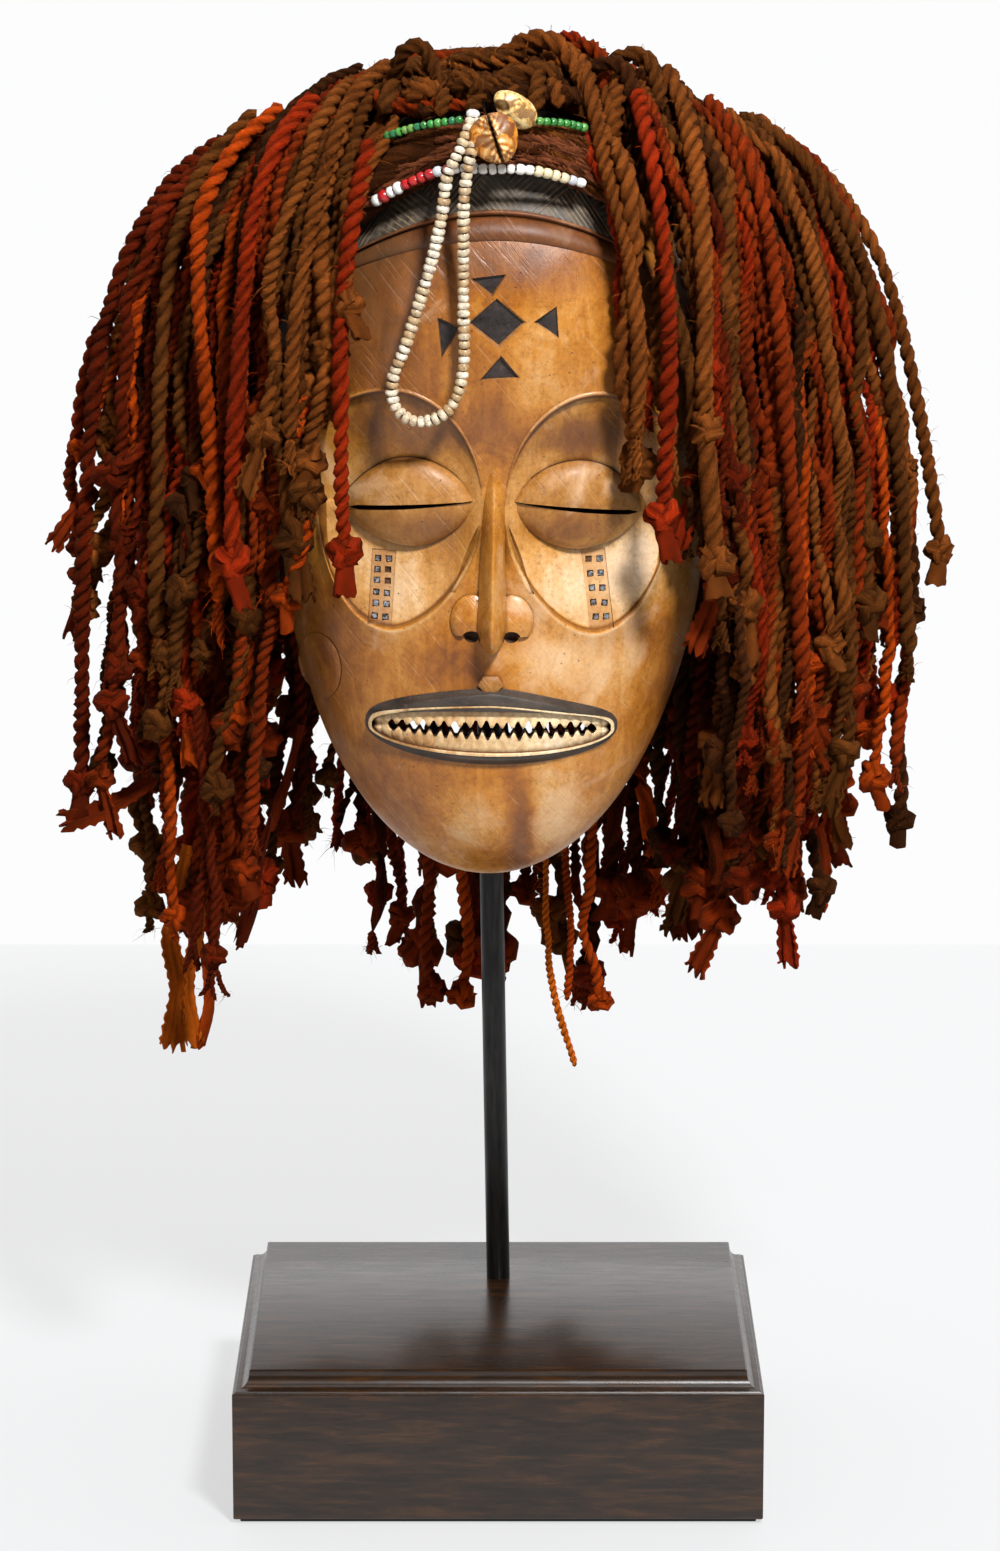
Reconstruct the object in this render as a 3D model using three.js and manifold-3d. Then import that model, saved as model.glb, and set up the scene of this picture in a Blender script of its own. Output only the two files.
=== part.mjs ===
// A carved wooden face mask with a wig of twisted cords, on a steel rod set in a wooden base.
import * as THREE from 'three';
import { mergeVertices } from 'three/addons/utils/BufferGeometryUtils.js';
import Module from 'manifold-3d';

// Driving dimensions in millimetres. Z is up, the face looks along -Y, +X is the viewer's right.
const fitGap = 0.3;
const baseSize = {
  width: 200,
  depth: 172,
  faceHeight: 50,
  mouldingHeight: 7.5,
  mouldingInset: 6.3,
  lip: 1.3,
  arris: 0.6,
};
const padSize = { inset: 2.5, thickness: 1.2 };
const rodSize = { radius: 4.6, footY: 34, seatDepth: 22, leanDegrees: 0.9, top: 502 };

// The face is drawn upright, from the tip of the chin, then rolled a little and lifted.
const facePlace = { x: -4.2, chinHeight: 241, rollDegrees: 1.06 };
const face = {
  halfWidth: 80,
  widestHeight: 135,
  upperHeight: 146,
  wall: 8,
  rimChinY: 8,
  rimTopY: 58,
  rimScale: 0.96,
  crownScale: 0.9,
  chinRise: 8,
  frontShare: 0.78,
  sideForward: 8,
  chinForward: 37,
  jawHeight: 67,
};

// How far the middle of the face stands forward at each height, before its carving.
const faceProfile = [
  [0, 71], [30, 72], [50, 68], [65, 65], [95, 60], [145, 57], [200, 66], [250, 73], [281, 80],
];

const socket = {
  x: 38,
  z: 141,
  inner: 34,
  outerTop: 37,
  outerBottom: 27,
  top: 44.5,
  bottom: 42,
  depth: 3.2,
  dish: 2.4,
  flankFrom: 52,
  flankTo: 78,
  flankRise: 9,
};
const eye = { x: 31, z: 143.5, halfLength: 25, halfHeight: 17, rim: -2.4, bulge: 6 };
const eyeSlit = { inner: 9, outer: 53, innerZ: 144.6, outerZ: 140.2, height: 1.3 };
const noseRidge = [[91, 15], [93, 19], [98, 21], [108, 17], [125, 12], [145, 6], [155, 2.5], [168, 0.2]];
const noseWidth = [[91, 7], [98, 9], [108, 8], [125, 6.5], [150, 4.5], [168, 3]];
const nostrilWing = { x: 9, z: 99.5, radiusX: 7, radiusZ: 6.8, height: 10, lift: 0 };
const nostril = { x: 7.5, z: 94.5, radiusX: 3.4, radiusZ: 2.6, height: 9, lift: 4 };
const philtrumBoss = { x: 0, z: 78.5, radiusX: 4.6, radiusZ: 4.6, height: 5.5, lift: 0 };
const mouth = { x: 0.6, cornerZ: 59.3, halfLength: 47, upper: 20, lower: 10, lip: 3.6 };
const teethField = { halfLength: 44.5, upper: 11.2, lower: 4.8, height: 1.2 };
const mouthGap = { halfLength: 41, rise: 4.1, toothPitch: 4.7, toothHeight: 2.1, opening: 1.1 };
const rim = { z: 244.7, drop: 9.6, span: 44, height: 1.8, halfLength: 54 };
const band = { z: 253, drop: 13.4, span: 46, height: 2.9, halfLength: 52, overlap: 3 };
const stripRoot = 4;
const bandTop = { z: 271, drop: 22, span: 52 };
const earDisc = { x: 64.5, z: 77, radiusX: 8.5, radiusZ: 13, height: 1.6 };
const motifDepth = 1.3;
const motifShapes = [
  [[-0.3, 220.3], [9.5, 212.2], [0.6, 203.6], [-9.9, 211.6]],
  [[-9.5, 227.5], [2.6, 229.2], [-2.1, 222]],
  [[14, 212.3], [21.4, 217.9], [22.2, 207]],
  [[-5.4, 191], [1.6, 199.2], [8, 192]],
  [[-21.6, 213], [-14, 209.6], [-19.9, 199.2]],
];

// The net cap is half an egg that comes forward over the brow, thin and open below.
const cap = { x: -2, y: 40, z: 400, halfWidth: 90, front: 146, back: 84, height: 128, wall: 4 };
const capEdge = [[0, 510], [40, 497], [90, 350], [180, 305]];
const braid = {
  height: 14,
  thickness: 8,
  halfLength: 58,
  z: 517,
  drop: 26,
  front: 61,
  wrap: 20,
  turn: 0.012,
};
const wigClearance = 3.4;

// The tied cords leave a whorl at the crown, lie over the cap in layers, and hang outside it in
// flat bundles of two or three.
const bundle = { width: 27, thickness: 6.8, crownY: 22 };
const cordLayers = [
  { count: 10, from: 68, to: 292, rootRadius: 14, rootZ: 533, reach: 108, shoulderZ: 410, endZ: [150, 230] },
  { count: 10, from: 56, to: 304, rootRadius: 12, rootZ: 538, reach: 124, shoulderZ: 420, endZ: [190, 260] },
  { count: 10, from: 79, to: 281, rootRadius: 10, rootZ: 543, reach: 142, shoulderZ: 410, endZ: [215, 300] },
];

// The cords that hang in front or furthest out, each with its colour, its radius and its route.
const freeCords = [
  { name: 'lock_left_inner', color: 'cordRed', radius: 3.3, route: [
    [-40, -22, 543], [-50, -39, 536], [-57, -53, 524], [-63, -62, 506], [-68, -67, 485], [-72, -69, 465],
    [-75, -68, 436], [-76, -67, 410]] },
  { name: 'lock_left_brow', color: 'cordRed', radius: 3.4, route: [
    [-46, -55, 519], [-51, -65, 498], [-55, -71, 473], [-57, -73, 444], [-57, -73, 415], [-57, -72, 389],
    [-56, -71, 371]] },
  { name: 'lock_left_orange', color: 'cordOrange', radius: 3.4, route: [
    [-80, -8, 527], [-97, -26, 512], [-108, -36, 492], [-110, -42, 462], [-108, -44, 433], [-106, -44, 401],
    [-105, -43, 369], [-104, -42, 345]] },
  { name: 'lock_left_thick', color: 'cordRed', radius: 3.6, route: [
    [-67, -15, 531], [-80, -35, 516], [-89, -49, 492], [-93, -55, 460], [-95, -57, 430], [-97, -57, 400],
    [-98, -56, 365]] },
  { name: 'lock_left_side', color: 'cordBrown', radius: 3.4, route: [
    [-90, 4, 524], [-108, -6, 505], [-119, -18, 480], [-124, -22, 450], [-126, -24, 420], [-127, -24, 385],
    [-128, -23, 355], [-128, -22, 328]] },
  { name: 'lock_left_far', color: 'cordRed', radius: 3.4, route: [
    [-102, 14, 513], [-122, 10, 497], [-138, 4, 472], [-148, 0, 442], [-153, -2, 410], [-156, -2, 375],
    [-158, 0, 338], [-159, 3, 300], [-160, 6, 268]] },
  { name: 'lock_right_brow', color: 'cordBrown', radius: 3.3, route: [
    [24, -16, 548], [31, -36, 543], [35, -54, 528], [39, -63, 510], [45, -69, 487], [50, -73, 458],
    [51, -73, 433], [50, -72, 411]] },
  { name: 'lock_right_eye', color: 'cordRed', radius: 3.4, route: [
    [50, -40, 535], [54, -56, 519], [58, -66, 497], [61, -72, 467], [62, -74, 437], [61, -74, 410],
    [60, -73, 385]] },
  { name: 'lock_right_jersey', color: 'cordBrown', radius: 3.7, route: [
    [62, -14, 541], [69, -40, 524], [73, -54, 498], [75, -62, 462], [75, -64, 427], [77, -63, 396],
    [80, -61, 366]] },
  { name: 'lock_right_side', color: 'cordRed', radius: 3.4, route: [
    [77, -6, 530], [91, -24, 511], [99, -38, 484], [103, -44, 450], [106, -45, 415], [109, -43, 380],
    [112, -40, 345], [114, -38, 315]] },
  { name: 'lock_right_far', color: 'cordBrown', radius: 3.3, route: [
    [92, 8, 522], [115, 2, 505], [131, -4, 480], [142, -8, 448], [148, -9, 414], [152, -9, 379],
    [154, -8, 345], [156, -6, 318]] },
  { name: 'lock_right_outer', color: 'cordBrown', radius: 3, route: [
    [96, 26, 520], [125, 26, 496], [144, 24, 467], [154, 22, 436], [160, 21, 409], [165, 20, 382],
    [169, 20, 356]] },
  { name: 'crown_loop', color: 'cordBrown', radius: 3, route: [
    [-24, -31, 541], [-12, -33, 544], [0, -33, 545], [9, -31, 546], [16, -28, 546]] },
];

// Strings of beads, each a route that the thread follows.
const beadLoop = { radius: 2.3, waist: 1.2, pitch: 3.9, color: 'beadCream', route: [
  [-9, -71, 529], [-13, -75, 518], [-18, -76, 508], [-20, -74, 494], [-24, -72, 476], [-30, -71, 456],
  [-34, -70.5, 444], [-38, -69.5, 434], [-38.5, -69, 427], [-36, -69.5, 421], [-31, -70.5, 418],
  [-25, -71, 418], [-19, -71, 421], [-14.5, -71, 428], [-12.5, -71, 438], [-12.5, -71.5, 458],
  [-12.5, -72.5, 480], [-12, -75, 502], [-10, -76, 514], [-7, -72, 526]] };
const bandStrand = { radius: 1.9, waist: 0.9, pitch: 3.4, color: 'beadWhite', route: [
  [-44, -55, 495], [-34, -60, 501], [-18, -65.5, 507], [-4, -67.5, 507], [12, -66.5, 506.5],
  [30, -61, 501.5]] };
const greenLeft = { radius: 1.5, waist: 0.7, pitch: 3, color: 'beadGreen', route: [
  [-40, -56, 520], [-28, -63, 524], [-14, -66.5, 526.5]] };
const greenRight = { radius: 1.5, waist: 0.7, pitch: 3, color: 'beadGreen', route: [
  [15, -66, 526], [24, -62.5, 525], [31, -58, 523]] };

const cowrie = { length: 18.5, width: 13, thickness: 8.5 };
const cowriePlaces = [
  { name: 'cowrie_front', place: [1, -75, 518], turnDegrees: 35, tiltDegrees: -8 },
  { name: 'cowrie_upper', place: [6.5, -68, 531.5], turnDegrees: 122, tiltDegrees: 30 },
];

const colours = {
  wood: 0xb08052,
  blackWood: 0x3b2a1c,
  steel: 0x151515,
  felt: 0x1b1a19,
  netBrown: 0x4a3222,
  cordBrown: 0x6e4427,
  cordDark: 0x3f2a1c,
  cordRed: 0x8a2c16,
  cordOrange: 0xbb5a20,
  beadCream: 0xd6c3a4,
  beadGreen: 0x1f7a48,
  beadWhite: 0xe6e2da,
  shell: 0xd8b870,
};

const wasm = await Module();
wasm.setup();

const part = new THREE.Group();

function addPiece(name, geometry, color, roughness = 0.7, metalness = 0) {
  const material = new THREE.MeshStandardMaterial({ color, roughness, metalness });
  const mesh = new THREE.Mesh(geometry, material);
  mesh.name = name;
  part.add(mesh);
  return mesh;
}

// Joining and cutting closed solids.

function toSolid(geometry) {
  const bare = geometry.clone();
  bare.deleteAttribute('normal');
  bare.deleteAttribute('uv');
  const merged = mergeVertices(bare, 1e-4);
  return new wasm.Manifold(new wasm.Mesh({
    numProp: 3,
    vertProperties: new Float32Array(merged.attributes.position.array),
    triVerts: new Uint32Array(merged.index.array),
  }));
}

function toGeometry(solid) {
  const mesh = solid.getMesh();
  const geometry = new THREE.BufferGeometry();
  const corners = [];
  for (let i = 0; i < mesh.vertProperties.length; i += mesh.numProp) {
    corners.push(...mesh.vertProperties.slice(i, i + 3));
  }
  geometry.setAttribute('position', new THREE.Float32BufferAttribute(corners, 3));
  geometry.setIndex(Array.from(mesh.triVerts));
  geometry.computeVertexNormals();
  return geometry;
}

// Plain helpers for formulas.

function mix(a, b, share) {
  return a + (b - a) * share;
}

function clamp01(value) {
  return Math.min(1, Math.max(0, value));
}

function ease(from, to, value) {
  const share = clamp01((value - from) / (to - from));
  return share * share * (3 - 2 * share);
}

// A smooth curve through [position, height] pairs in rising order.
function alongProfile(pairs, position) {
  if (position <= pairs[0][0]) return pairs[0][1];
  for (let i = 1; i < pairs.length; i += 1) {
    if (position <= pairs[i][0]) {
      return mix(pairs[i - 1][1], pairs[i][1], ease(pairs[i - 1][0], pairs[i][0], position));
    }
  }
  return pairs[pairs.length - 1][1];
}

// A closed solid from rings of equally many points, with a flat fan at each end.
function ringSolid(rings) {
  const positions = rings.flat(2);
  const count = rings[0].length;
  const faces = [];
  for (let ring = 0; ring < rings.length - 1; ring += 1) {
    for (let i = 0; i < count; i += 1) {
      const next = (i + 1) % count;
      const a = ring * count + i;
      const b = ring * count + next;
      faces.push(a, b, b + count, a, b + count, a + count);
    }
  }
  const last = (rings.length - 1) * count;
  for (let i = 1; i < count - 1; i += 1) {
    faces.push(0, i + 1, i);
    faces.push(last, last + i, last + i + 1);
  }
  const geometry = new THREE.BufferGeometry();
  geometry.setAttribute('position', new THREE.Float32BufferAttribute(positions, 3));
  geometry.setIndex(faces);
  geometry.computeVertexNormals();
  return geometry;
}

function smoothPath(route) {
  const points = route.map((point) => new THREE.Vector3(...point));
  return new THREE.CatmullRomCurve3(points, false, 'centripetal');
}

// A tube along a route, with a regular section of so many sides.
function tube(route, radius, sides, steps) {
  const section = new THREE.Shape();
  for (let i = 0; i < sides; i += 1) {
    const angle = (i + 0.5) * 2 * Math.PI / sides;
    const x = radius * Math.cos(angle);
    const y = radius * Math.sin(angle);
    if (i === 0) section.moveTo(x, y);
    else section.lineTo(x, y);
  }
  section.closePath();
  return new THREE.ExtrudeGeometry(section, {
    extrudePath: smoothPath(route),
    steps,
    bevelEnabled: false,
    curveSegments: 1,
  });
}

// The base.

function rectangleRing(inset, height) {
  const x = baseSize.width / 2 - inset;
  const y = baseSize.depth / 2 - inset;
  return [[-x, -y, height], [x, -y, height], [x, y, height], [-x, y, height]];
}

const baseBottom = padSize.thickness + fitGap;
const faceTop = baseBottom + baseSize.faceHeight;
const baseTop = faceTop + baseSize.mouldingHeight;

function makeBase() {
  const { lip, arris, mouldingHeight, mouldingInset } = baseSize;
  const rings = [rectangleRing(arris, baseBottom), rectangleRing(0, baseBottom + arris)];
  rings.push(rectangleRing(0, faceTop - arris), rectangleRing(arris, faceTop));
  const coveSteps = 4;
  const coveHeight = mouldingHeight - 3 * arris;
  for (let i = 0; i <= coveSteps; i += 1) {
    const angle = i * Math.PI / 2 / coveSteps;
    const inset = lip + (mouldingInset - lip) * Math.sin(angle);
    rings.push(rectangleRing(inset, faceTop + arris + coveHeight * (1 - Math.cos(angle))));
  }
  rings.push(rectangleRing(mouldingInset, baseTop - arris), rectangleRing(mouldingInset + arris, baseTop));
  const seat = rodCylinder(rodSize.radius + fitGap, -fitGap, 2 * rodSize.seatDepth);
  return toGeometry(toSolid(ringSolid(rings)).subtract(toSolid(seat)));
}

const lean = THREE.MathUtils.degToRad(rodSize.leanDegrees);
const rodFootZ = baseTop - rodSize.seatDepth;

// A cylinder on the rod's leaning axis, from below its foot to a height above it.
function rodCylinder(radius, below, above) {
  const length = above - below;
  const cylinder = new THREE.CylinderGeometry(radius, radius, length, 16);
  cylinder.rotateX(Math.PI / 2);
  cylinder.translate(0, 0, below + length / 2);
  cylinder.rotateY(-lean);
  cylinder.translate(Math.tan(lean) * rodSize.seatDepth, rodSize.footY, rodFootZ);
  return cylinder;
}

// The face.

function outlinePoint(dirX, dirZ, shrink) {
  const power = dirZ < 0 ? 2 : 2.4;
  const halfHeight = (dirZ < 0 ? face.widestHeight : face.upperHeight) - shrink;
  const reach = (Math.abs(dirX) ** power + Math.abs(dirZ) ** power) ** (-1 / power);
  return [(face.halfWidth - shrink) * dirX * reach, halfHeight * dirZ * reach];
}

function silhouetteForward(height) {
  return mix(face.sideForward, face.chinForward, clamp01((face.jawHeight - height) / face.jawHeight));
}

function frontForward(z, edgeZ, outward) {
  const power = mix(2.2, 3.6, ease(60, 230, z));
  const fullness = Math.max(0, 1 - outward ** power) ** 0.6;
  return mix(silhouetteForward(edgeZ), alongProfile(faceProfile, z), fullness);
}

// How far the smooth, uncarved face stands forward at a place.
function surfaceForward(x, z) {
  const up = z - face.widestHeight;
  const power = up < 0 ? 2 : 2.4;
  const halfHeight = up < 0 ? face.widestHeight : face.upperHeight;
  const sum = (Math.abs(x) / face.halfWidth) ** power + (Math.abs(up) / halfHeight) ** power;
  const outward = Math.min(1, sum ** (1 / power));
  const edgeZ = outward > 0 ? face.widestHeight + up / outward : face.widestHeight;
  return frontForward(z, edgeZ, outward) + chinRidge(x, z);
}

function chinRidge(x, z) {
  return 1.4 * Math.exp(-((x / 8) ** 2)) * ease(4, 14, z) * (1 - ease(30, 46, z));
}

// A point of the mask from a disc: the middle is the face, the outer share is the wall behind it.
function facePoint(u, v, shrink) {
  const radius = Math.hypot(u, v);
  if (radius < 1e-9) return [0, -(frontForward(face.widestHeight, 0, 0) - shrink), face.widestHeight];
  const [edgeX, edgeZ] = outlinePoint(u / radius, v / radius, shrink);
  const edgeHeight = face.widestHeight + edgeZ;
  if (radius <= face.frontShare) {
    const outward = Math.sin(radius / face.frontShare * Math.PI / 2);
    const x = edgeX * outward;
    const z = face.widestHeight + edgeZ * outward;
    const inward = shrink * Math.sqrt(Math.max(0, 1 - outward * outward));
    const ridge = shrink > 0 ? 0 : chinRidge(x, z);
    return [x, -(frontForward(z, edgeHeight, outward) - inward + ridge), z];
  }
  const back = (radius - face.frontShare) / (1 - face.frontShare);
  const taper = mix(1, face.rimScale, back * back);
  const taperZ = v > 0 ? mix(taper, mix(1, face.crownScale, back), v / radius) : taper;
  const rise = face.chinRise * back * Math.max(0, -v / radius);
  const rimY = mix(face.rimChinY, face.rimTopY, edgeHeight / (face.widestHeight + face.upperHeight));
  const y = mix(-silhouetteForward(edgeHeight), rimY, back);
  return [edgeX * taper, y, face.widestHeight + edgeZ * taperZ + rise];
}

const spokes = 24;

function discGrid(rings) {
  const points = [[0, 0]];
  const faces = [];
  rings.forEach((radius, ring) => {
    for (let i = 0; i < spokes; i += 1) {
      const angle = i * 2 * Math.PI / spokes;
      points.push([radius * Math.sin(angle), radius * Math.cos(angle)]);
      const next = (i + 1) % spokes;
      const here = 1 + ring * spokes;
      if (ring === 0) {
        faces.push([0, here + i, here + next]);
      } else {
        const inner = here - spokes;
        faces.push([inner + i, here + i, here + next], [inner + i, here + next, inner + next]);
      }
    }
  });
  return { points, faces };
}

// Splits the longest edges of a disc's triangles wherever the surface bends away from them.
function refine(disc, surface, tolerance, shortest) {
  const points = disc.points;
  let faces = disc.faces;
  const places = points.map(([u, v]) => new THREE.Vector3(...surface(u, v)));
  const onRim = (index) => Math.hypot(...points[index]) > 0.9999;
  const edges = new Map();

  function edgeOf(a, b) {
    const name = a < b ? `${a}_${b}` : `${b}_${a}`;
    if (edges.has(name)) return edges.get(name);
    const length = onRim(a) && onRim(b) ? 0 : places[a].distanceTo(places[b]);
    let miss = 0;
    for (const share of [0.25, 0.5, 0.75]) {
      const u = mix(points[a][0], points[b][0], share);
      const v = mix(points[a][1], points[b][1], share);
      const straight = places[a].clone().lerp(places[b], share);
      miss = Math.max(miss, straight.distanceTo(new THREE.Vector3(...surface(u, v))));
    }
    const edge = { a, b, length, bends: length > shortest && miss > tolerance, middle: -1 };
    edges.set(name, edge);
    return edge;
  }

  function middleOf(edge) {
    if (edge.middle < 0) {
      const u = (points[edge.a][0] + points[edge.b][0]) / 2;
      const v = (points[edge.a][1] + points[edge.b][1]) / 2;
      edge.middle = points.length;
      points.push([u, v]);
      places.push(new THREE.Vector3(...surface(u, v)));
    }
    return edge.middle;
  }

  function edgesOf([a, b, c]) {
    return [edgeOf(a, b), edgeOf(b, c), edgeOf(c, a)];
  }

  function longestOf(candidates) {
    return candidates.reduce((best, edge) => (edge.length > best.length ? edge : best));
  }

  function cut(triangle, marked, out) {
    const candidates = edgesOf(triangle).filter((edge) => marked.has(edge));
    if (candidates.length === 0) {
      out.push(triangle);
      return;
    }
    const edge = longestOf(candidates);
    const middle = middleOf(edge);
    const place = edgesOf(triangle).indexOf(edge);
    const [from, to, far] = [0, 1, 2].map((turn) => triangle[(place + turn) % 3]);
    cut([from, middle, far], marked, out);
    cut([middle, to, far], marked, out);
  }

  for (let round = 0; round < 12; round += 1) {
    const marked = new Set();
    let before = -1;
    while (marked.size > before) {
      before = marked.size;
      for (const triangle of faces) {
        const sides = edgesOf(triangle);
        if (!sides.some((edge) => edge.bends || marked.has(edge))) continue;
        marked.add(longestOf(sides));
        sides.filter((edge) => edge.bends).forEach((edge) => marked.add(edge));
      }
    }
    if (marked.size === 0) break;
    const next = [];
    for (const triangle of faces) cut(triangle, marked, next);
    faces = next;
  }
  return { places, faces };
}

function bowlGeometry(outside, inside) {
  const positions = [];
  const faces = [];
  const rims = [];
  [outside, inside].forEach((sheet, layer) => {
    const offset = positions.length / 3;
    sheet.places.forEach((place) => positions.push(place.x, place.y, place.z));
    for (const [a, b, c] of sheet.faces) {
      if (layer === 0) faces.push(offset + a, offset + c, offset + b);
      else faces.push(offset + a, offset + b, offset + c);
    }
    rims.push(offset + 1 + (sheet.rings - 1) * spokes);
  });
  for (let i = 0; i < spokes; i += 1) {
    const next = (i + 1) % spokes;
    const [outer, inner] = rims;
    faces.push(outer + i, inner + next, inner + i, outer + i, outer + next, inner + next);
  }
  const geometry = new THREE.BufferGeometry();
  geometry.setAttribute('position', new THREE.Float32BufferAttribute(positions, 3));
  geometry.setIndex(faces);
  return geometry;
}

// A closed slab over an outline on the face. The functions say how far its front and its back stand
// off the smooth surface, from 0 in the middle to 1 at the outline.
function faceSlab(outline, middle, rings, front, back) {
  const count = outline.length;
  const positions = [];
  const faces = [];
  const place = (x, z, height) => positions.push(x, -(surfaceForward(x, z) + height), z);
  for (const height of [front, back]) {
    const first = positions.length / 3;
    place(middle[0], middle[1], height(0, middle[0], middle[1]));
    for (const share of rings) {
      for (const [x, z] of outline) {
        const px = mix(middle[0], x, share);
        const pz = mix(middle[1], z, share);
        place(px, pz, height(share, px, pz));
      }
    }
    const turn = height === front ? 0 : 1;
    for (let i = 0; i < count; i += 1) {
      const next = (i + 1) % count;
      const pair = turn ? [i, next] : [next, i];
      faces.push(first, first + 1 + pair[0], first + 1 + pair[1]);
      for (let ring = 1; ring < rings.length; ring += 1) {
        const inner = first + 1 + (ring - 1) * count;
        const outer = inner + count;
        faces.push(inner + pair[0], outer + pair[0], outer + pair[1]);
        faces.push(inner + pair[0], outer + pair[1], inner + pair[1]);
      }
    }
  }
  const frontEdge = 1 + (rings.length - 1) * count;
  const backEdge = frontEdge + 1 + rings.length * count;
  for (let i = 0; i < count; i += 1) {
    const next = (i + 1) % count;
    faces.push(frontEdge + i, frontEdge + next, backEdge + next);
    faces.push(frontEdge + i, backEdge + next, backEdge + i);
  }
  const geometry = new THREE.BufferGeometry();
  geometry.setAttribute('position', new THREE.Float32BufferAttribute(positions, 3));
  geometry.setIndex(faces);
  return solidEitherWay(geometry);
}

// A closed slab over a band of the face between two curves z(x).
function faceStrip({ halfLength, height: front }, lowZ, highZ) {
  const rings = [];
  const columns = 12;
  for (let i = 0; i <= columns; i += 1) {
    const x = mix(-halfLength, halfLength, i / columns);
    const ring = [];
    for (const [share, height] of [[0, -stripRoot], [0, front], [0.5, front], [1, front], [1, -stripRoot]]) {
      const z = mix(lowZ(x), highZ(x), share);
      ring.push([x, -(surfaceForward(x, z) + height), z]);
    }
    rings.push(ring);
  }
  return solidEitherWay(ringSolid(rings));
}

function solidEitherWay(geometry) {
  const solid = toSolid(geometry);
  if (solid.volume() > 0) return solid;
  geometry.setIndex(Array.from(geometry.index.array).reverse());
  return toSolid(geometry);
}

function roundOutline(count, point) {
  return Array.from({ length: count }, (_, i) => point(i * 2 * Math.PI / count));
}

function socketCut(sign) {
  const outline = roundOutline(20, (angle) => {
    const across = Math.cos(angle);
    const up = Math.sin(angle);
    const outer = up > 0 ? socket.outerTop : socket.outerBottom;
    const radiusX = across < 0 ? socket.inner : outer;
    return [sign * (socket.x + across * radiusX), socket.z + up * (up > 0 ? socket.top : socket.bottom)];
  });
  const floor = (share, x) => {
    const shallow = socket.flankRise * ease(socket.flankFrom, socket.flankTo, Math.abs(x));
    return shallow - socket.depth - socket.dish * (1 - share * share);
  };
  return faceSlab(outline, [sign * socket.x, socket.z], [0.6, 1], () => 12, floor);
}

function eyeSwelling(sign) {
  const outline = roundOutline(20, (angle) => {
    const along = Math.cos(angle);
    const up = Math.sign(Math.sin(angle)) * Math.abs(Math.sin(angle)) ** 1.5;
    return [sign * (eye.x + eye.halfLength * along), eye.z + eye.halfHeight * up];
  });
  const lids = (share) => eye.rim + eye.bulge * (1 - share ** 1.8);
  return faceSlab(outline, [sign * eye.x, eye.z], [0.5, 0.85, 1], lids, () => -6.8);
}

function noseSolid() {
  const heights = [91, 93, 98, 108, 125, 140, 155, 168];
  const rings = heights.map((z) => {
    const half = alongProfile(noseWidth, z);
    const skin = surfaceForward(0, z);
    const ridge = skin + alongProfile(noseRidge, z);
    const foot = skin - 1.5;
    return [[-half, -foot, z], [-0.8, -ridge, z], [0.8, -ridge, z], [half, -foot, z], [0, -(skin - 6), z]];
  });
  return solidEitherWay(ringSolid(rings));
}

function roundKnob({ x, z, radiusX, radiusZ, height, lift }, sign) {
  const knob = new THREE.SphereGeometry(1, 8, 5);
  knob.scale(radiusX, height, radiusZ);
  knob.translate(sign * x, -(surfaceForward(sign * x, z) + lift), z);
  return toSolid(knob);
}

function lensOutline(halfLength, upper, lower, upperPower, lowerPower) {
  return roundOutline(24, (angle) => {
    const along = Math.cos(angle);
    const top = Math.sin(angle) > 0;
    const height = (top ? upper : -lower) * Math.max(0, 1 - along * along) ** (top ? upperPower : lowerPower);
    return [mouth.x + halfLength * along, mouth.cornerZ + height];
  });
}

function lipSwelling() {
  const outline = lensOutline(mouth.halfLength, mouth.upper, mouth.lower, 0.85, 0.4);
  const lips = (share) => 0.3 + (mouth.lip - 0.3) * ease(1, 0.85, share);
  return faceSlab(outline, [mouth.x, mouth.cornerZ + 4], [0.7, 0.9, 1], lips, () => -6);
}

function teethHollow() {
  const outline = lensOutline(teethField.halfLength, teethField.upper, teethField.lower, 0.7, 0.4);
  return faceSlab(outline, [mouth.x, mouth.cornerZ + 3], [0.6, 1], () => 10, () => teethField.height);
}

// The gap between the rows of teeth, pierced through the wall, with a zigzag above and below.
function mouthCutter() {
  const shape = new THREE.Shape();
  const teeth = Math.floor(2 * mouthGap.halfLength / mouthGap.toothPitch);
  const step = mouthGap.toothPitch / 2;
  const start = -teeth * mouthGap.toothPitch / 2;
  const upper = [];
  const lower = [];
  for (let i = 0; i <= 2 * teeth; i += 1) {
    const x = start + i * step;
    const along = x / mouthGap.halfLength;
    const middle = mouth.cornerZ + 0.4 + mouthGap.rise * Math.max(0, 1 - along * along);
    const tooth = i % 2 === 0 ? mouthGap.toothHeight : 0;
    upper.push([mouth.x + x, middle + mouthGap.opening / 2 + tooth]);
    lower.push([mouth.x + x, middle - mouthGap.opening / 2 - tooth]);
  }
  const outline = [...upper, ...lower.reverse()];
  outline.forEach(([x, z], i) => (i === 0 ? shape.moveTo(x, z) : shape.lineTo(x, z)));
  shape.closePath();
  const cutter = new THREE.ExtrudeGeometry(shape, { depth: 60, bevelEnabled: false });
  cutter.rotateX(Math.PI / 2);
  cutter.translate(0, -25, 0);
  return toSolid(cutter);
}

function slitCutter(sign) {
  const width = eyeSlit.outer - eyeSlit.inner;
  const cutter = new THREE.BoxGeometry(width, 70, eyeSlit.height);
  cutter.rotateY(sign * Math.atan2(eyeSlit.innerZ - eyeSlit.outerZ, width));
  cutter.translate(sign * (eyeSlit.inner + eyeSlit.outer) / 2, -50, (eyeSlit.innerZ + eyeSlit.outerZ) / 2);
  return toSolid(cutter);
}

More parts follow.
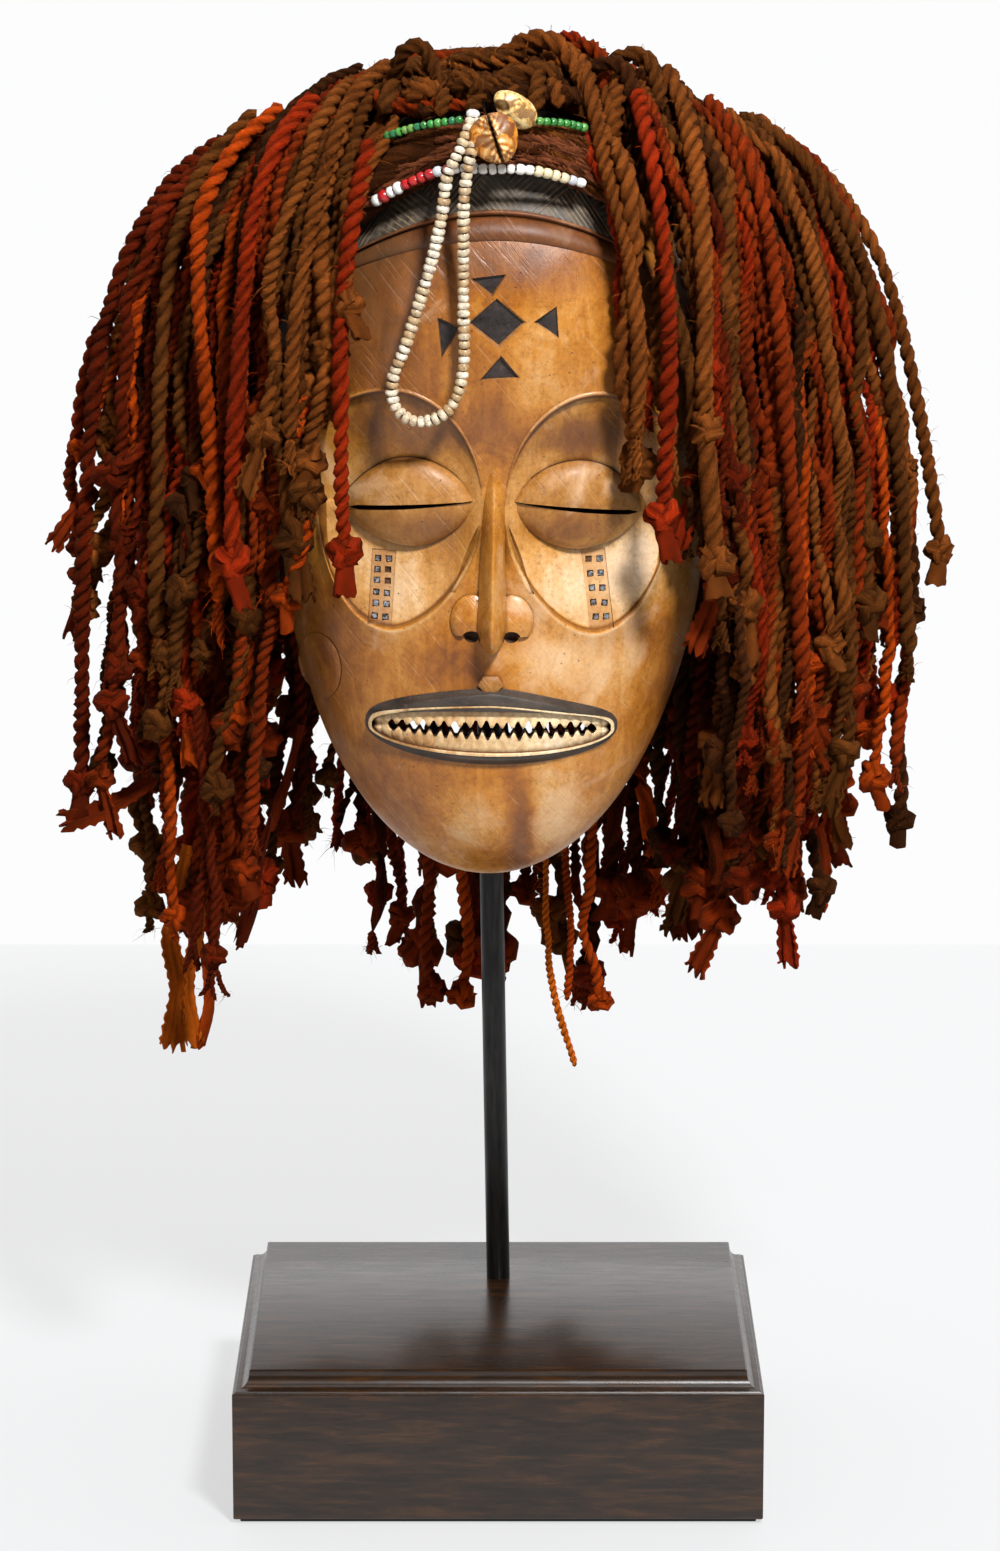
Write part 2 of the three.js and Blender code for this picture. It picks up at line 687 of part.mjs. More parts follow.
function motifCut(corners) {
  const meanOf = (axis) => corners.reduce((sum, corner) => sum + corner[axis], 0) / corners.length;
  const middle = [meanOf(0), meanOf(1)];
  return faceSlab(corners, middle, [1], () => 6, () => -motifDepth);
}

function bowedLine(line) {
  return (x) => line.z - line.drop * (x / line.span) ** 2;
}

function earDiscPad(sign) {
  const outline = roundOutline(12, (angle) => {
    const across = earDisc.x + earDisc.radiusX * Math.cos(angle);
    return [sign * across, earDisc.z + earDisc.radiusZ * Math.sin(angle)];
  });
  return faceSlab(outline, [sign * earDisc.x, earDisc.z], [1], () => earDisc.height, () => -4);
}

const roll = THREE.MathUtils.degToRad(facePlace.rollDegrees);

function placeFace(geometry) {
  geometry.rotateY(roll);
  geometry.translate(facePlace.x, 0, facePlace.chinHeight);
  geometry.computeVertexNormals();
  return geometry;
}

const outsideTolerance = 2.2;
const shortestEdge = 26;

function bareBowl() {
  const outerRings = [0.3, 0.55, face.frontShare, 1];
  const innerRings = [0.45, face.frontShare, 1];
  const outside = refine(discGrid(outerRings), (u, v) => facePoint(u, v, 0), outsideTolerance, shortestEdge);
  outside.rings = outerRings.length;
  const innerDisc = discGrid(innerRings);
  const inside = {
    places: innerDisc.points.map(([u, v]) => new THREE.Vector3(...facePoint(u, v, face.wall))),
    faces: innerDisc.faces,
    rings: innerRings.length,
  };
  return toSolid(bowlGeometry(outside, inside));
}

function makeMask() {
  let solid = bareBowl();
  const underBand = bowedLine({ ...band, z: band.z + band.overlap });
  solid = solid.add(faceStrip(rim, bowedLine(rim), underBand));
  solid = solid.add(faceStrip(band, bowedLine(band), bowedLine(bandTop)));
  for (const sign of [-1, 1]) {
    solid = solid.subtract(socketCut(sign)).add(eyeSwelling(sign)).add(earDiscPad(sign));
  }
  solid = solid.add(noseSolid());
  for (const sign of [-1, 1]) {
    solid = solid.add(roundKnob(nostrilWing, sign)).subtract(roundKnob(nostril, sign));
    solid = solid.subtract(slitCutter(sign));
  }
  solid = solid.add(lipSwelling()).subtract(teethHollow()).subtract(mouthCutter());
  solid = solid.add(roundKnob(philtrumBoss, 1));
  for (const corners of motifShapes) solid = solid.subtract(motifCut(corners));
  return placeFace(toGeometry(solid));
}

// The net cap and the braid along its front edge.

function capPoint(angle, share, shrink) {
  const turn = THREE.MathUtils.radToDeg(Math.abs(angle));
  const edgeZ = alongProfile(capEdge, turn);
  const height = cap.height - shrink;
  const start = edgeZ > cap.z ? Math.asin((edgeZ - cap.z) / cap.height) : (edgeZ - cap.z) / cap.height;
  const rise = mix(start, Math.PI / 2, share);
  const level = Math.cos(Math.max(0, rise));
  const depth = (Math.cos(angle) > 0 ? cap.front : cap.back) - shrink;
  const x = cap.x + (cap.halfWidth - shrink) * Math.sin(angle) * level;
  const y = cap.y - depth * Math.cos(angle) * level;
  return [x, y, cap.z + height * (rise > 0 ? Math.sin(rise) : rise)];
}

function makeCap() {
  const around = 20;
  const layers = [0, 0.22, 0.45, 0.7, 0.88];
  const positions = [];
  const faces = [];
  for (const shrink of [0, cap.wall]) {
    for (const share of layers) {
      for (let i = 0; i < around; i += 1) {
        positions.push(capPoint(mix(-Math.PI, Math.PI, i / around), share, shrink));
      }
    }
    positions.push(capPoint(0, 1, shrink));
  }
  const sheet = around * layers.length + 1;
  for (const [first, flip] of [[0, false], [sheet, true]]) {
    const face = (a, b, c) => faces.push(...(flip ? [a, c, b] : [a, b, c]));
    for (let i = 0; i < around; i += 1) {
      const next = (i + 1) % around;
      for (let layer = 0; layer < layers.length - 1; layer += 1) {
        const low = first + layer * around;
        face(low + i, low + next, low + next + around);
        face(low + i, low + next + around, low + i + around);
      }
      const top = first + (layers.length - 1) * around;
      face(top + i, top + next, first + sheet - 1);
    }
  }
  for (let i = 0; i < around; i += 1) {
    const next = (i + 1) % around;
    faces.push(i, sheet + i, sheet + next, i, sheet + next, next);
  }
  const geometry = new THREE.BufferGeometry();
  geometry.setAttribute('position', new THREE.Float32BufferAttribute(positions.flat(), 3));
  geometry.setIndex(faces);
  return solidEitherWay(geometry);
}

// The mask as a full, slightly larger body, to cut its room out of what sits round it.
function maskRoom(room) {
  const disc = discGrid([0.3, 0.55, face.frontShare, 0.9, 1]);
  const positions = disc.points.map(([u, v]) => {
    const [x, y, z] = facePoint(u, v, -room);
    return [x, Math.hypot(u, v) > 0.99 ? y + room : y - room, z];
  });
  const rimStart = positions.length - spokes;
  const faces = disc.faces.flat();
  for (let i = 1; i < spokes - 1; i += 1) faces.push(rimStart, rimStart + i + 1, rimStart + i);
  const geometry = new THREE.BufferGeometry();
  geometry.setAttribute('position', new THREE.Float32BufferAttribute(positions.flat(), 3));
  geometry.setIndex(faces);
  geometry.rotateY(roll);
  geometry.translate(facePlace.x, 0, facePlace.chinHeight);
  return solidEitherWay(geometry);
}

function largestPart(solid) {
  return solid.decompose().reduce((best, piece) => (piece.volume() > best.volume() ? piece : best));
}

function makeBraid() {
  const rings = [];
  const columns = 14;
  for (let i = 0; i <= columns; i += 1) {
    const x = mix(-braid.halfLength, braid.halfLength, i / columns);
    const bow = (x / braid.halfLength) ** 2;
    const z = braid.z - braid.drop * bow;
    const y = -(braid.front - braid.wrap * bow);
    const forward = new THREE.Vector2(x * braid.turn, -1).normalize();
    const ring = [];
    for (let side = 0; side < 8; side += 1) {
      const angle = side * Math.PI / 4 + Math.PI / 8;
      const out = braid.thickness / 2 * Math.cos(angle);
      ring.push([x + out * forward.x, y + out * forward.y, z + braid.height / 2 * Math.sin(angle)]);
    }
    rings.push(ring);
  }
  return solidEitherWay(ringSolid(rings));
}

// The cords.

// From the whorl, over the cap in a quarter arc, then straight down with a slight sway.
function tiedBundle(layer, index) {
  const share = index / (layer.count - 1);
  const angle = THREE.MathUtils.degToRad(mix(layer.from, layer.to, share));
  const outward = new THREE.Vector3(Math.sin(angle), -Math.cos(angle), 0);
  const around = new THREE.Vector3(Math.cos(angle), Math.sin(angle), 0);
  const sway = Math.sin(index * 2.4 + layer.reach);
  const front = clamp01(0.35 - outward.y);
  const reach = layer.reach * (1 - 0.12 * front) + 3 * sway;
  const endZ = mix(layer.endZ[0], layer.endZ[1], 0.5 + 0.5 * Math.sin(index * 1.9));
  const route = [];
  for (const turn of [0, 0.35, 0.65, 1]) {
    const out = Math.sin(turn * Math.PI / 2);
    const radius = mix(layer.rootRadius, reach, out);
    const z = mix(layer.shoulderZ, layer.rootZ, Math.cos(turn * Math.PI / 2));
    const y = mix(bundle.crownY, cap.y, out) + radius * outward.y * (outward.y > 0 ? 0.88 : 1);
    route.push(new THREE.Vector3(cap.x + radius * outward.x, y, z));
  }
  const shoulder = route[route.length - 1];
  route.push(new THREE.Vector3(shoulder.x + sway, shoulder.y - 1, mix(layer.shoulderZ, endZ, 0.5)));
  route.push(new THREE.Vector3(shoulder.x - sway, shoulder.y, endZ));
  const rings = route.map((middle, i) => {
    const along = route[Math.min(i + 1, route.length - 1)].clone().sub(route[Math.max(i - 1, 0)]).normalize();
    const skin = along.clone().cross(around).normalize();
    const width = bundle.width * mix(0.4, 1, Math.min(1, i / 2));
    return [[-1, -1], [1, -1], [1, 1], [-1, 1]].map(([side, face]) => middle.clone()
      .addScaledVector(around, side * width / 2)
      .addScaledVector(skin, face * bundle.thickness / 2)
      .toArray());
  });
  return solidEitherWay(ringSolid(rings));
}

function makeTiedCords() {
  const bundles = [];
  for (const layer of cordLayers) {
    for (let i = 0; i < layer.count; i += 1) bundles.push(tiedBundle(layer, i));
  }
  return wasm.Manifold.union(bundles);
}

// A string of beads: rings that swell and narrow along the thread.
function beadString({ radius, waist, pitch, route }) {
  const path = smoothPath(route);
  const beads = Math.round(path.getLength() / pitch);
  const frames = path.computeFrenetFrames(beads * 2, false);
  const rings = [];
  for (let i = 0; i <= beads * 2; i += 1) {
    const middle = path.getPointAt(i / (beads * 2));
    const size = i % 2 === 1 ? radius : waist;
    const ring = [];
    for (let side = 0; side < 4; side += 1) {
      const angle = side * Math.PI / 2;
      const corner = middle.clone();
      corner.addScaledVector(frames.normals[i], size * Math.cos(angle));
      corner.addScaledVector(frames.binormals[i], size * Math.sin(angle));
      ring.push(corner.toArray());
    }
    rings.push(ring);
  }
  return toGeometry(solidEitherWay(ringSolid(rings)));
}

// A cowrie shell, domed behind and flatter in front, with a slit along it.
function makeCowrie({ place, turnDegrees, tiltDegrees }) {
  const shell = new THREE.SphereGeometry(1, 10, 6);
  shell.scale(cowrie.width / 2, cowrie.thickness / 2, cowrie.length / 2);
  const slit = new THREE.BoxGeometry(1.2, 4, cowrie.length * 0.8);
  slit.translate(0, -cowrie.thickness / 2, 0);
  const geometry = toGeometry(toSolid(shell).subtract(toSolid(slit)));
  geometry.rotateY(THREE.MathUtils.degToRad(turnDegrees));
  geometry.rotateX(THREE.MathUtils.degToRad(tiltDegrees));
  geometry.translate(...place);
  return geometry;
}

// The pieces, from the ground up.

const padWidth = baseSize.width - 2 * padSize.inset;
const padDepth = baseSize.depth - 2 * padSize.inset;
const pad = new THREE.BoxGeometry(padWidth, padDepth, padSize.thickness);
pad.translate(0, 0, padSize.thickness / 2);
addPiece('base_pad', pad, colours.felt, 0.95);
addPiece('base_block', makeBase(), colours.blackWood, 0.35);

addPiece('support_rod', rodCylinder(rodSize.radius, 0, rodSize.top - rodFootZ), colours.steel, 0.4, 0.6);

addPiece('mask', makeMask(), colours.wood, 0.42);
const capSolid = largestPart(makeCap().subtract(maskRoom(wigClearance)));
addPiece('wig_cap', toGeometry(capSolid), colours.netBrown, 0.95);
addPiece('brow_braid', toGeometry(makeBraid().subtract(maskRoom(wigClearance))), colours.netBrown, 0.95);
addPiece('tied_cords', toGeometry(largestPart(makeTiedCords().subtract(capSolid))), colours.cordDark, 0.95);

for (const { name, color, radius, route } of freeCords) {
  const steps = Math.max(5, Math.round(route.length * 1.1));
  addPiece(name, tube(route, radius, 8, steps), colours[color], 0.95);
}

addPiece('bead_loop', beadString(beadLoop), colours[beadLoop.color], 0.5);
addPiece('band_bead_strand', beadString(bandStrand), colours[bandStrand.color], 0.35);
addPiece('green_beads_left', beadString(greenLeft), colours[greenLeft.color], 0.35);
addPiece('green_beads_right', beadString(greenRight), colours[greenRight.color], 0.35);
for (const shell of cowriePlaces) addPiece(shell.name, makeCowrie(shell), colours.shell, 0.3);

export default part;
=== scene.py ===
# A carved wooden face mask with a wig of twisted cords, on its rod and base.
import math
import random

import bmesh
import bpy
import numpy as np
from mathutils import Matrix, Vector, noise


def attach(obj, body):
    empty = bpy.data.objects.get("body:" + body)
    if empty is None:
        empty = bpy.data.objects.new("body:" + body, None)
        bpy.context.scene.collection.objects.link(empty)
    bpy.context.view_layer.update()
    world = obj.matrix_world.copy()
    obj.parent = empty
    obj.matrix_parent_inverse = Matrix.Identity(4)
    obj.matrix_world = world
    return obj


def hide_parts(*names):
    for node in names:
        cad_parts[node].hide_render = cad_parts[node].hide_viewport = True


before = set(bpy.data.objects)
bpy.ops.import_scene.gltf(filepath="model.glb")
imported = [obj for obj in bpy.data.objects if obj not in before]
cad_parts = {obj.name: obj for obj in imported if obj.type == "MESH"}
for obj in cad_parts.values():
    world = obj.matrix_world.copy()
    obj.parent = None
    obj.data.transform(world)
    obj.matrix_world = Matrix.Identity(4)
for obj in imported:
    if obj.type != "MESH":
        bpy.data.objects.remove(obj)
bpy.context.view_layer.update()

mm = 0.001
luck = random.Random(11)


def newObject(name, data):
    made = bpy.data.objects.new(name, data)
    bpy.context.collection.objects.link(made)
    return made


# The camera stands where the photograph was taken from, looking slightly down.
cameraView = {"place": (0.0007, -1.9432, 0.6988), "pitchDegrees": 12.43, "lens": 120.7, "sensor": 36,
              "farthest": 30}


def makeCamera():
    data = bpy.data.cameras.new("camera")
    data.lens = cameraView["lens"]
    data.sensor_width = cameraView["sensor"]
    data.clip_end = cameraView["farthest"]
    camera = newObject("camera", data)
    camera.location = cameraView["place"]
    camera.rotation_euler = (math.radians(90 - cameraView["pitchDegrees"]), 0, 0)
    bpy.context.scene.camera = camera


makeCamera()
print("camera placed")


# Small helpers for formulas, on single numbers or whole arrays

def mix(a, b, share):
    return a + (b - a) * share


def ease(low, high, value):
    share = np.clip((value - low) / (high - low), 0, 1)
    return share * share * (3 - 2 * share)


def alongProfile(pairs, value):  # a smooth curve through pairs of place and height
    places, heights = np.array(pairs, float).T
    slopes = np.gradient(heights, places)
    value = np.clip(value, places[0], places[-1])
    spot = np.clip(np.searchsorted(places, value, side="right") - 1, 0, len(places) - 2)
    width = places[spot + 1] - places[spot]
    t = (value - places[spot]) / width
    lift = mix(heights[spot], heights[spot + 1], t * t * (3 - 2 * t))
    return lift + width * (slopes[spot] * t * (1 - t) ** 2 - slopes[spot + 1] * t * t * (1 - t))


def unit(vectors):
    return vectors / np.maximum(np.linalg.norm(vectors, axis=-1, keepdims=True), 1e-12)


def gridPlaces(mesh):  # shares from 0 to 1 along both sides of a fresh grid
    places = np.array([tuple(vert.co) for vert in mesh.verts])
    return (places[:, 0] + 1) / 2, (places[:, 1] + 1) / 2


def moveVerts(verts, places):
    for vert, place in zip(verts, places):
        vert.co = place


def onlyVerts(made):
    return [item for item in made["geom"] if isinstance(item, bmesh.types.BMVert)]


def closed(bm):  # the same solid, with its faces pointing out
    bmesh.ops.recalc_face_normals(bm, faces=bm.faces)
    if bm.calc_volume(signed=True) < 0:
        bmesh.ops.reverse_faces(bm, faces=bm.faces)
    return bm


def meshFrom(bm):
    mesh = bpy.data.meshes.new("piece")
    bm.to_mesh(mesh)
    bm.free()
    return mesh


def finishPiece(name, mesh, materials, replaces=(), slot=None, sharpDegrees=38):
    mesh.name = name
    piece = newObject(name, mesh)
    mesh.shade_smooth()
    mesh.set_sharp_from_angle(angle=math.radians(sharpDegrees))
    painted = [face.material_index for face in mesh.polygons]
    mesh.materials.clear()
    for material in materials:
        mesh.materials.append(material)
    mesh.polygons.foreach_set("material_index", painted)
    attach(piece, "root")
    if replaces:
        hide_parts(*replaces)
    return piece


# Shader helpers. A node goes into the tree of the socket that feeds it, and a plain number is a grey.

def tint(red, green, blue):  # a colour as seen on screen, 0 to 255
    def linear(value):
        value /= 255
        return value / 12.92 if value <= 0.04045 else ((value + 0.055) / 1.055) ** 2.4
    return (linear(red), linear(green), linear(blue), 1)


def asColour(value):
    value = (value,) * 3 if isinstance(value, (int, float)) else tuple(value)
    return value if len(value) == 4 else (*value, 1)


def node(kind, settings=None, tree=None, **inputs):
    tree = tree or next(value.id_data for value in inputs.values() if isinstance(value, bpy.types.NodeSocket))
    made = tree.nodes.new("ShaderNode" + kind)
    for key, value in (settings or {}).items():
        setattr(made, key, value)
    for key, value in inputs.items():
        socket = made.inputs[int(key[1:])] if key[0] == "n" and key[1:].isdigit() else made.inputs[key]
        if isinstance(value, bpy.types.NodeSocket):
            tree.links.new(value, socket)
        else:
            socket.default_value = asColour(value) if socket.type == "RGBA" else value
    return made


def newMaterial(name, **sockets):  # the material, and the place on the piece that its patterns read
    material = bpy.data.materials.new(name)
    material.use_nodes = True
    shader = material.node_tree.nodes["Principled BSDF"]
    for socketName, value in sockets.items():
        shader.inputs[socketName.replace("_", " ")].default_value = value
    return material, node("TexCoord", tree=material.node_tree).outputs["Object"]


def finishMaterial(material, colour, rough=None, height=None, distance=0.0, strength=1.0):
    tree = material.node_tree
    shader = tree.nodes["Principled BSDF"]
    tree.links.new(colour, shader.inputs["Base Color"])
    if rough is not None:
        tree.links.new(rough, shader.inputs["Roughness"])
    bump = node("Bump", Height=height, Distance=distance, Strength=strength)
    tree.links.new(bump.outputs[0], shader.inputs["Normal"])
    return material


def painted(place, name, output="Color"):  # an attribute of the mesh
    return node("Attribute", {"attribute_name": name}, place.id_data).outputs[output]


def maths(operation, first, second=0.0, third=0.0):
    return node("Math", {"operation": operation}, n0=first, n1=second, n2=third).outputs[0]


def times(first, second):
    return maths("MULTIPLY", first, second)


def weighed(*parts):  # sockets added up, each times its share
    total = times(*parts[0])
    for socket, share in parts[1:]:
        total = maths("MULTIPLY_ADD", socket, share, total)
    return total


def ramp(factor, *stops, smooth=False):
    made = node("ValToRGB", Fac=factor)
    bar = made.color_ramp
    bar.interpolation = "EASE" if smooth else "LINEAR"
    while len(bar.elements) < len(stops):
        bar.elements.new(0.5)
    for element, (place, colour) in zip(bar.elements, stops):
        element.position = place
        element.color = asColour(colour)
    return made.outputs["Color"]


def blend(factor, first, second, kind="MIX"):
    return node("Mix", {"data_type": "RGBA", "blend_type": kind}, n0=factor, n6=first, n7=second).outputs[2]


def noiseOn(place, scale, detail=4, roughness=0.55, distortion=0.0):  # one scale, or one for each axis
    if isinstance(scale, tuple):
        place, scale = node("Mapping", Vector=place, Scale=scale).outputs[0], 1.0
    return node("TexNoise", Vector=place, Scale=scale, Detail=detail, Roughness=roughness,
                Distortion=distortion).outputs["Fac"]


# The wooden face, in millimetres, drawn upright from the tip of the chin; forward is -y.
faceShape = {
    "place": (-4.2, 241.0),
    "rollDegrees": 1.06,
    "halfWidth": 80,
    "widestHeight": 135,
    "upperHeight": 146,
    "wall": 8,
    "rimY": (8, 58),
    "rimScale": 0.96,
    "crownScale": 0.9,
    "chinRise": 8,
    "frontShare": 0.78,
    "edgeForward": (8, 37, 67),  # at the cheeks, at the chin, and the height where the jaw starts
    "profile": [(0, 71), (30, 72), (50, 68), (65, 65), (95, 60), (145, 57), (200, 66), (250, 73),
                (281, 80)],
    "socket": {"x": 38, "z": 141, "inner": 34, "outerTop": 37, "outerBottom": 27, "top": 44.5, "bottom": 45,
               "depth": 2.0, "dish": 5.2},
    "brow": {"from": 0.16, "to": 0.475, "inside": -0.4, "outside": 1.3, "height": 0.75, "colour": "edge"},
    "cheek": {"from": 0.515, "to": 0.98, "inside": -0.2, "outside": 8, "height": 1.8, "colour": "skin"},
    "eye": {"x": 31, "z": 143.5, "halfLength": 25.4, "halfHeight": 16.6, "droop": 1.6, "rim": -4.2,
            "bulge": 5.6, "lidStep": 1.6},
    "slit": {"inner": 8, "outer": 53, "innerZ": 144.6, "outerZ": 140.4, "height": 2.0},
    "noseRidge": [(91, 15), (93, 18.5), (98, 20.5), (108, 17), (125, 11.5), (140, 6.6), (150, 2.6),
                  (158, 0.2)],
    "noseWidth": [(91, 3.6), (95, 5.4), (101, 5.9), (110, 5.4), (125, 4.9), (145, 4.0), (158, 2.6)],
    "wing": {"x": 7.2, "z": 100.8, "radii": (8.2, 3.7, 9.8), "lift": 0, "cut": 0.5, "colour": "skin"},
    "nostril": {"x": 7.4, "z": 94.8, "radii": (3.5, 6, 2.7), "lift": 4, "cut": 1, "colour": "crevice"},
    "boss": {"z": 77.2, "halfWidth": 4.7, "halfHeight": 3.6, "height": 2.4},
    # the lips and their edge: half the length, and how far they reach up and down
    "mouth": {"x": 0.6, "z": 59.3, "height": 3.6, "lips": (47, 16.8, 12.2), "edge": (45.8, 10.6, 8.4)},
    "teeth": {"halfLength": 44.5, "upper": 8.4, "lower": 7.2, "floor": 0.9, "pitch": 3.9, "ridge": 0.9},
    "gap": {"halfLength": 40.5, "rise": 0.5, "opening": 1.7, "notch": 2.5},
    "rim": {"z": 243.4, "drop": 9.6, "span": 44},
    "band": {"z": 250.8, "drop": 13.4, "span": 46, "height": 2.9},
    "bandTop": {"z": 271, "drop": 22, "span": 52},
    "ear": {"x": 64.5, "z": 77, "radiusX": 8.5, "radiusZ": 13, "height": 1.1},
    "motifDepth": 1.8, "motifFrame": 0.55,
    "motifs": [
        [(-0.3, 220.3), (9.5, 212.2), (0.6, 203.6), (-9.9, 211.6)],
        [(-9.5, 227.5), (2.6, 229.2), (-2.1, 222)],
        [(14, 212.3), (21.4, 217.9), (22.2, 207)],
        [(-5.4, 191), (1.6, 199.2), (8, 192)],
        [(-21.6, 213), (-14, 209.6), (-19.9, 199.2)],
    ],
    # each strip's top chip, its lean, its number of rows and the step down; three chips have fallen out
    "inlay": {"size": 2.7, "depth": 1.3, "across": 4.0, "lost": (0, 13, 15),
              "right": (37.4, 122.6, 0.75, 5, 5.4), "left": (-40.4, 121.4, -0.2, 6, 4.3)},
}
paint = {name: i for i, name in enumerate((
    "skin", "socket", "lid", "crevice", "lips", "bone", "rim", "band", "motif", "inside", "edge", "ridge"))}


def silhouetteForward(height):
    cheek, chin, jaw = faceShape["edgeForward"]
    share = (jaw - height) / jaw
    return cheek + (chin - cheek) * np.clip((share + np.sqrt(share ** 2 + 0.004)) / 2, 0, 1)


def frontForward(z, edgeZ, outward):
    power = mix(2.2, 3.6, ease(60, 230, z))
    fullness = np.maximum(0, 1 - outward ** power) ** 0.6
    return mix(silhouetteForward(edgeZ), alongProfile(faceShape["profile"], z), fullness)


def chinRidge(x, z):  # a soft upright ridge, with a shallow scoop on each side of it
    window = ease(4, 14, z) * (1 - ease(32, 48, z))
    return (1.5 * np.exp(-(x / 8) ** 2) - 1.0 * np.exp(-((np.abs(x) - 17) / 7) ** 2)) * window


def outlinePower(up):  # an ellipse below the widest place, fuller above it
    return np.where(up < 0, 2, 2.4)


def surfaceForward(x, z):  # how far the smooth, uncarved face stands forward
    widest = faceShape["widestHeight"]
    up = z - widest
    power = outlinePower(up)
    halfHeight = np.where(up < 0, widest, faceShape["upperHeight"])
    total = (np.abs(x) / faceShape["halfWidth"]) ** power + (np.abs(up) / halfHeight) ** power
    outward = np.clip(total ** (1 / power), 1e-6, 1)
    return frontForward(z, widest + up / outward, outward) + chinRidge(x, z)


def facePoint(u, v, shrink, overshoot=0):  # a disc bent to the bowl: the outer share is its side
    radius = np.maximum(np.hypot(u, v), 1e-9)
    dirX, dirZ = np.where(radius > 1e-8, u / radius, 1), v / radius
    power = outlinePower(dirZ)
    reach = (np.abs(dirX) ** power + np.abs(dirZ) ** power) ** (-1 / power)
    widest, front = faceShape["widestHeight"], faceShape["frontShare"]
    halfHeight = np.where(dirZ < 0, widest, faceShape["upperHeight"]) - shrink
    edgeX = (faceShape["halfWidth"] - shrink) * dirX * reach
    edgeZ = halfHeight * dirZ * reach
    edgeHeight = widest + edgeZ
    outward = np.sin(np.minimum(radius / front, 1) * np.pi / 2)
    x, z = edgeX * outward, widest + edgeZ * outward
    inward = shrink * np.sqrt(np.maximum(0, 1 - outward ** 2))
    y = -(frontForward(z, edgeHeight, outward) - inward + (chinRidge(x, z) if shrink == 0 else 0))
    back = np.clip((radius - front) / (1 - front), 0, 1)
    taper = mix(1, faceShape["rimScale"], back ** 2)
    crown = mix(taper, mix(1, faceShape["crownScale"], back), np.clip(dirZ, 0, 1))
    low, high = faceShape["rimY"]
    rimY = mix(low, high, edgeHeight / (widest + faceShape["upperHeight"])) + overshoot
    behind = radius > front
    x = np.where(behind, edgeX * taper, x)
    z = np.where(behind, widest + edgeZ * crown + faceShape["chinRise"] * back * np.maximum(0, -dirZ), z)
    y = np.where(behind, mix(-silhouetteForward(edgeHeight), rimY, back), y)
    return np.stack([x, y, z], 1)


def makeBowl(columns, rows, shrink, overshoot, colour):
    bm = bmesh.new()
    bmesh.ops.create_grid(bm, x_segments=columns, y_segments=rows, size=1)
    across, up = gridPlaces(bm)
    s, t = [0.62 * (2 * share - 1) + 0.38 * (2 * share - 1) ** 3 for share in (across, up)]
    places = facePoint(s * np.sqrt(1 - t * t / 2), t * np.sqrt(1 - s * s / 2), shrink, overshoot)
    if shrink == 0:  # the slow unevenness of a surface cut with an adze
        for i, place in enumerate(places):
            spot = Vector(place)
            places[i, 1] += 0.35 * noise.noise(spot * 0.035) + 0.12 * noise.noise(spot * 0.12)
    moveVerts(bm.verts, places)
    bmesh.ops.contextual_create(bm, geom=[edge for edge in bm.edges if edge.is_boundary])
    for face in bm.faces:
        face.material_index = paint[colour] if len(face.verts) == 4 else paint["inside"]
    return closed(bm)


def makeSlab(columns, rows, place, front, back, colour, wall=None, floor=None):
    # A closed slab on a part of the face: place gives x and z, front and back how far it stands off the skin.
    bm = bmesh.new()
    bmesh.ops.create_grid(bm, x_segments=columns, y_segments=rows, size=1)
    shareA = bm.verts.layers.float.new("a")
    shareB = bm.verts.layers.float.new("b")
    a, b = gridPlaces(bm)
    x, z = place(a, b)
    moveVerts(bm.verts, np.stack([x, -(surfaceForward(x, z) + front(a, b, x, z)), z], 1))
    for vert, first, second in zip(bm.verts, a, b):
        vert[shareA], vert[shareB] = first, second
    bmesh.ops.remove_doubles(bm, verts=bm.verts, dist=1e-4)
    faces = list(bm.faces)
    made = bmesh.ops.extrude_face_region(bm, geom=faces, use_keep_orig=True)
    behind = onlyVerts(made)
    backFaces = [item for item in made["geom"] if isinstance(item, bmesh.types.BMFace)]
    a, b, x, z = np.array([(vert[shareA], vert[shareB], vert.co.x, vert.co.z) for vert in behind]).T
    moveVerts(behind, np.stack([x, -(surfaceForward(x, z) + back(a, b, x, z)), z], 1))
    for face in bm.faces:
        face.material_index = paint[wall or colour]
    for face in faces:
        face.material_index = paint[colour]
    for face in backFaces:
        face.material_index = paint[floor or colour]
    return closed(bm)


def around(a):  # once round, for a slab that is laid out like a wheel
    return np.cos(2 * np.pi * a), np.sin(2 * np.pi * a)


def level(value):
    return lambda a, b, x, z: np.full_like(x, value)


def socketOutline(sign, a):
    shape = faceShape["socket"]
    across, up = around(a)
    power = np.where((across < 0) & (up < 0), 1.2, 1)  # straighter from the nose down to the cheek
    across, up = np.sign(across) * np.abs(across) ** power, np.sign(up) * np.abs(up) ** power
    radius = np.where(across < 0, shape["inner"], np.where(up > 0, shape["outerTop"], shape["outerBottom"]))
    x = sign * (shape["x"] + across * radius)
    return x, shape["z"] + up * np.where(up > 0, shape["top"], shape["bottom"])


def makeSocket(sign):
    shape = faceShape["socket"]

    def reach(b):  # closer together near the rim, so that the step there is crisp
        return 1 - (1 - b) ** 1.8

    def place(a, b):
        x, z = socketOutline(sign, a)
        return mix(sign * shape["x"], x, reach(b)), mix(shape["z"], z, reach(b))

    def floor(a, b, x, z):
        shallow = 9 * ease(52, 78, np.abs(x))
        step = shape["depth"] * mix(0.1, 1, ease(5, 15, np.abs(x)))  # it runs out beside the nose
        return shallow - step * ease(1.0, 0.985, reach(b)) - shape["dish"] * (1 - reach(b) ** 2)
    return makeSlab(150, 30, place, level(12), floor, "socket")


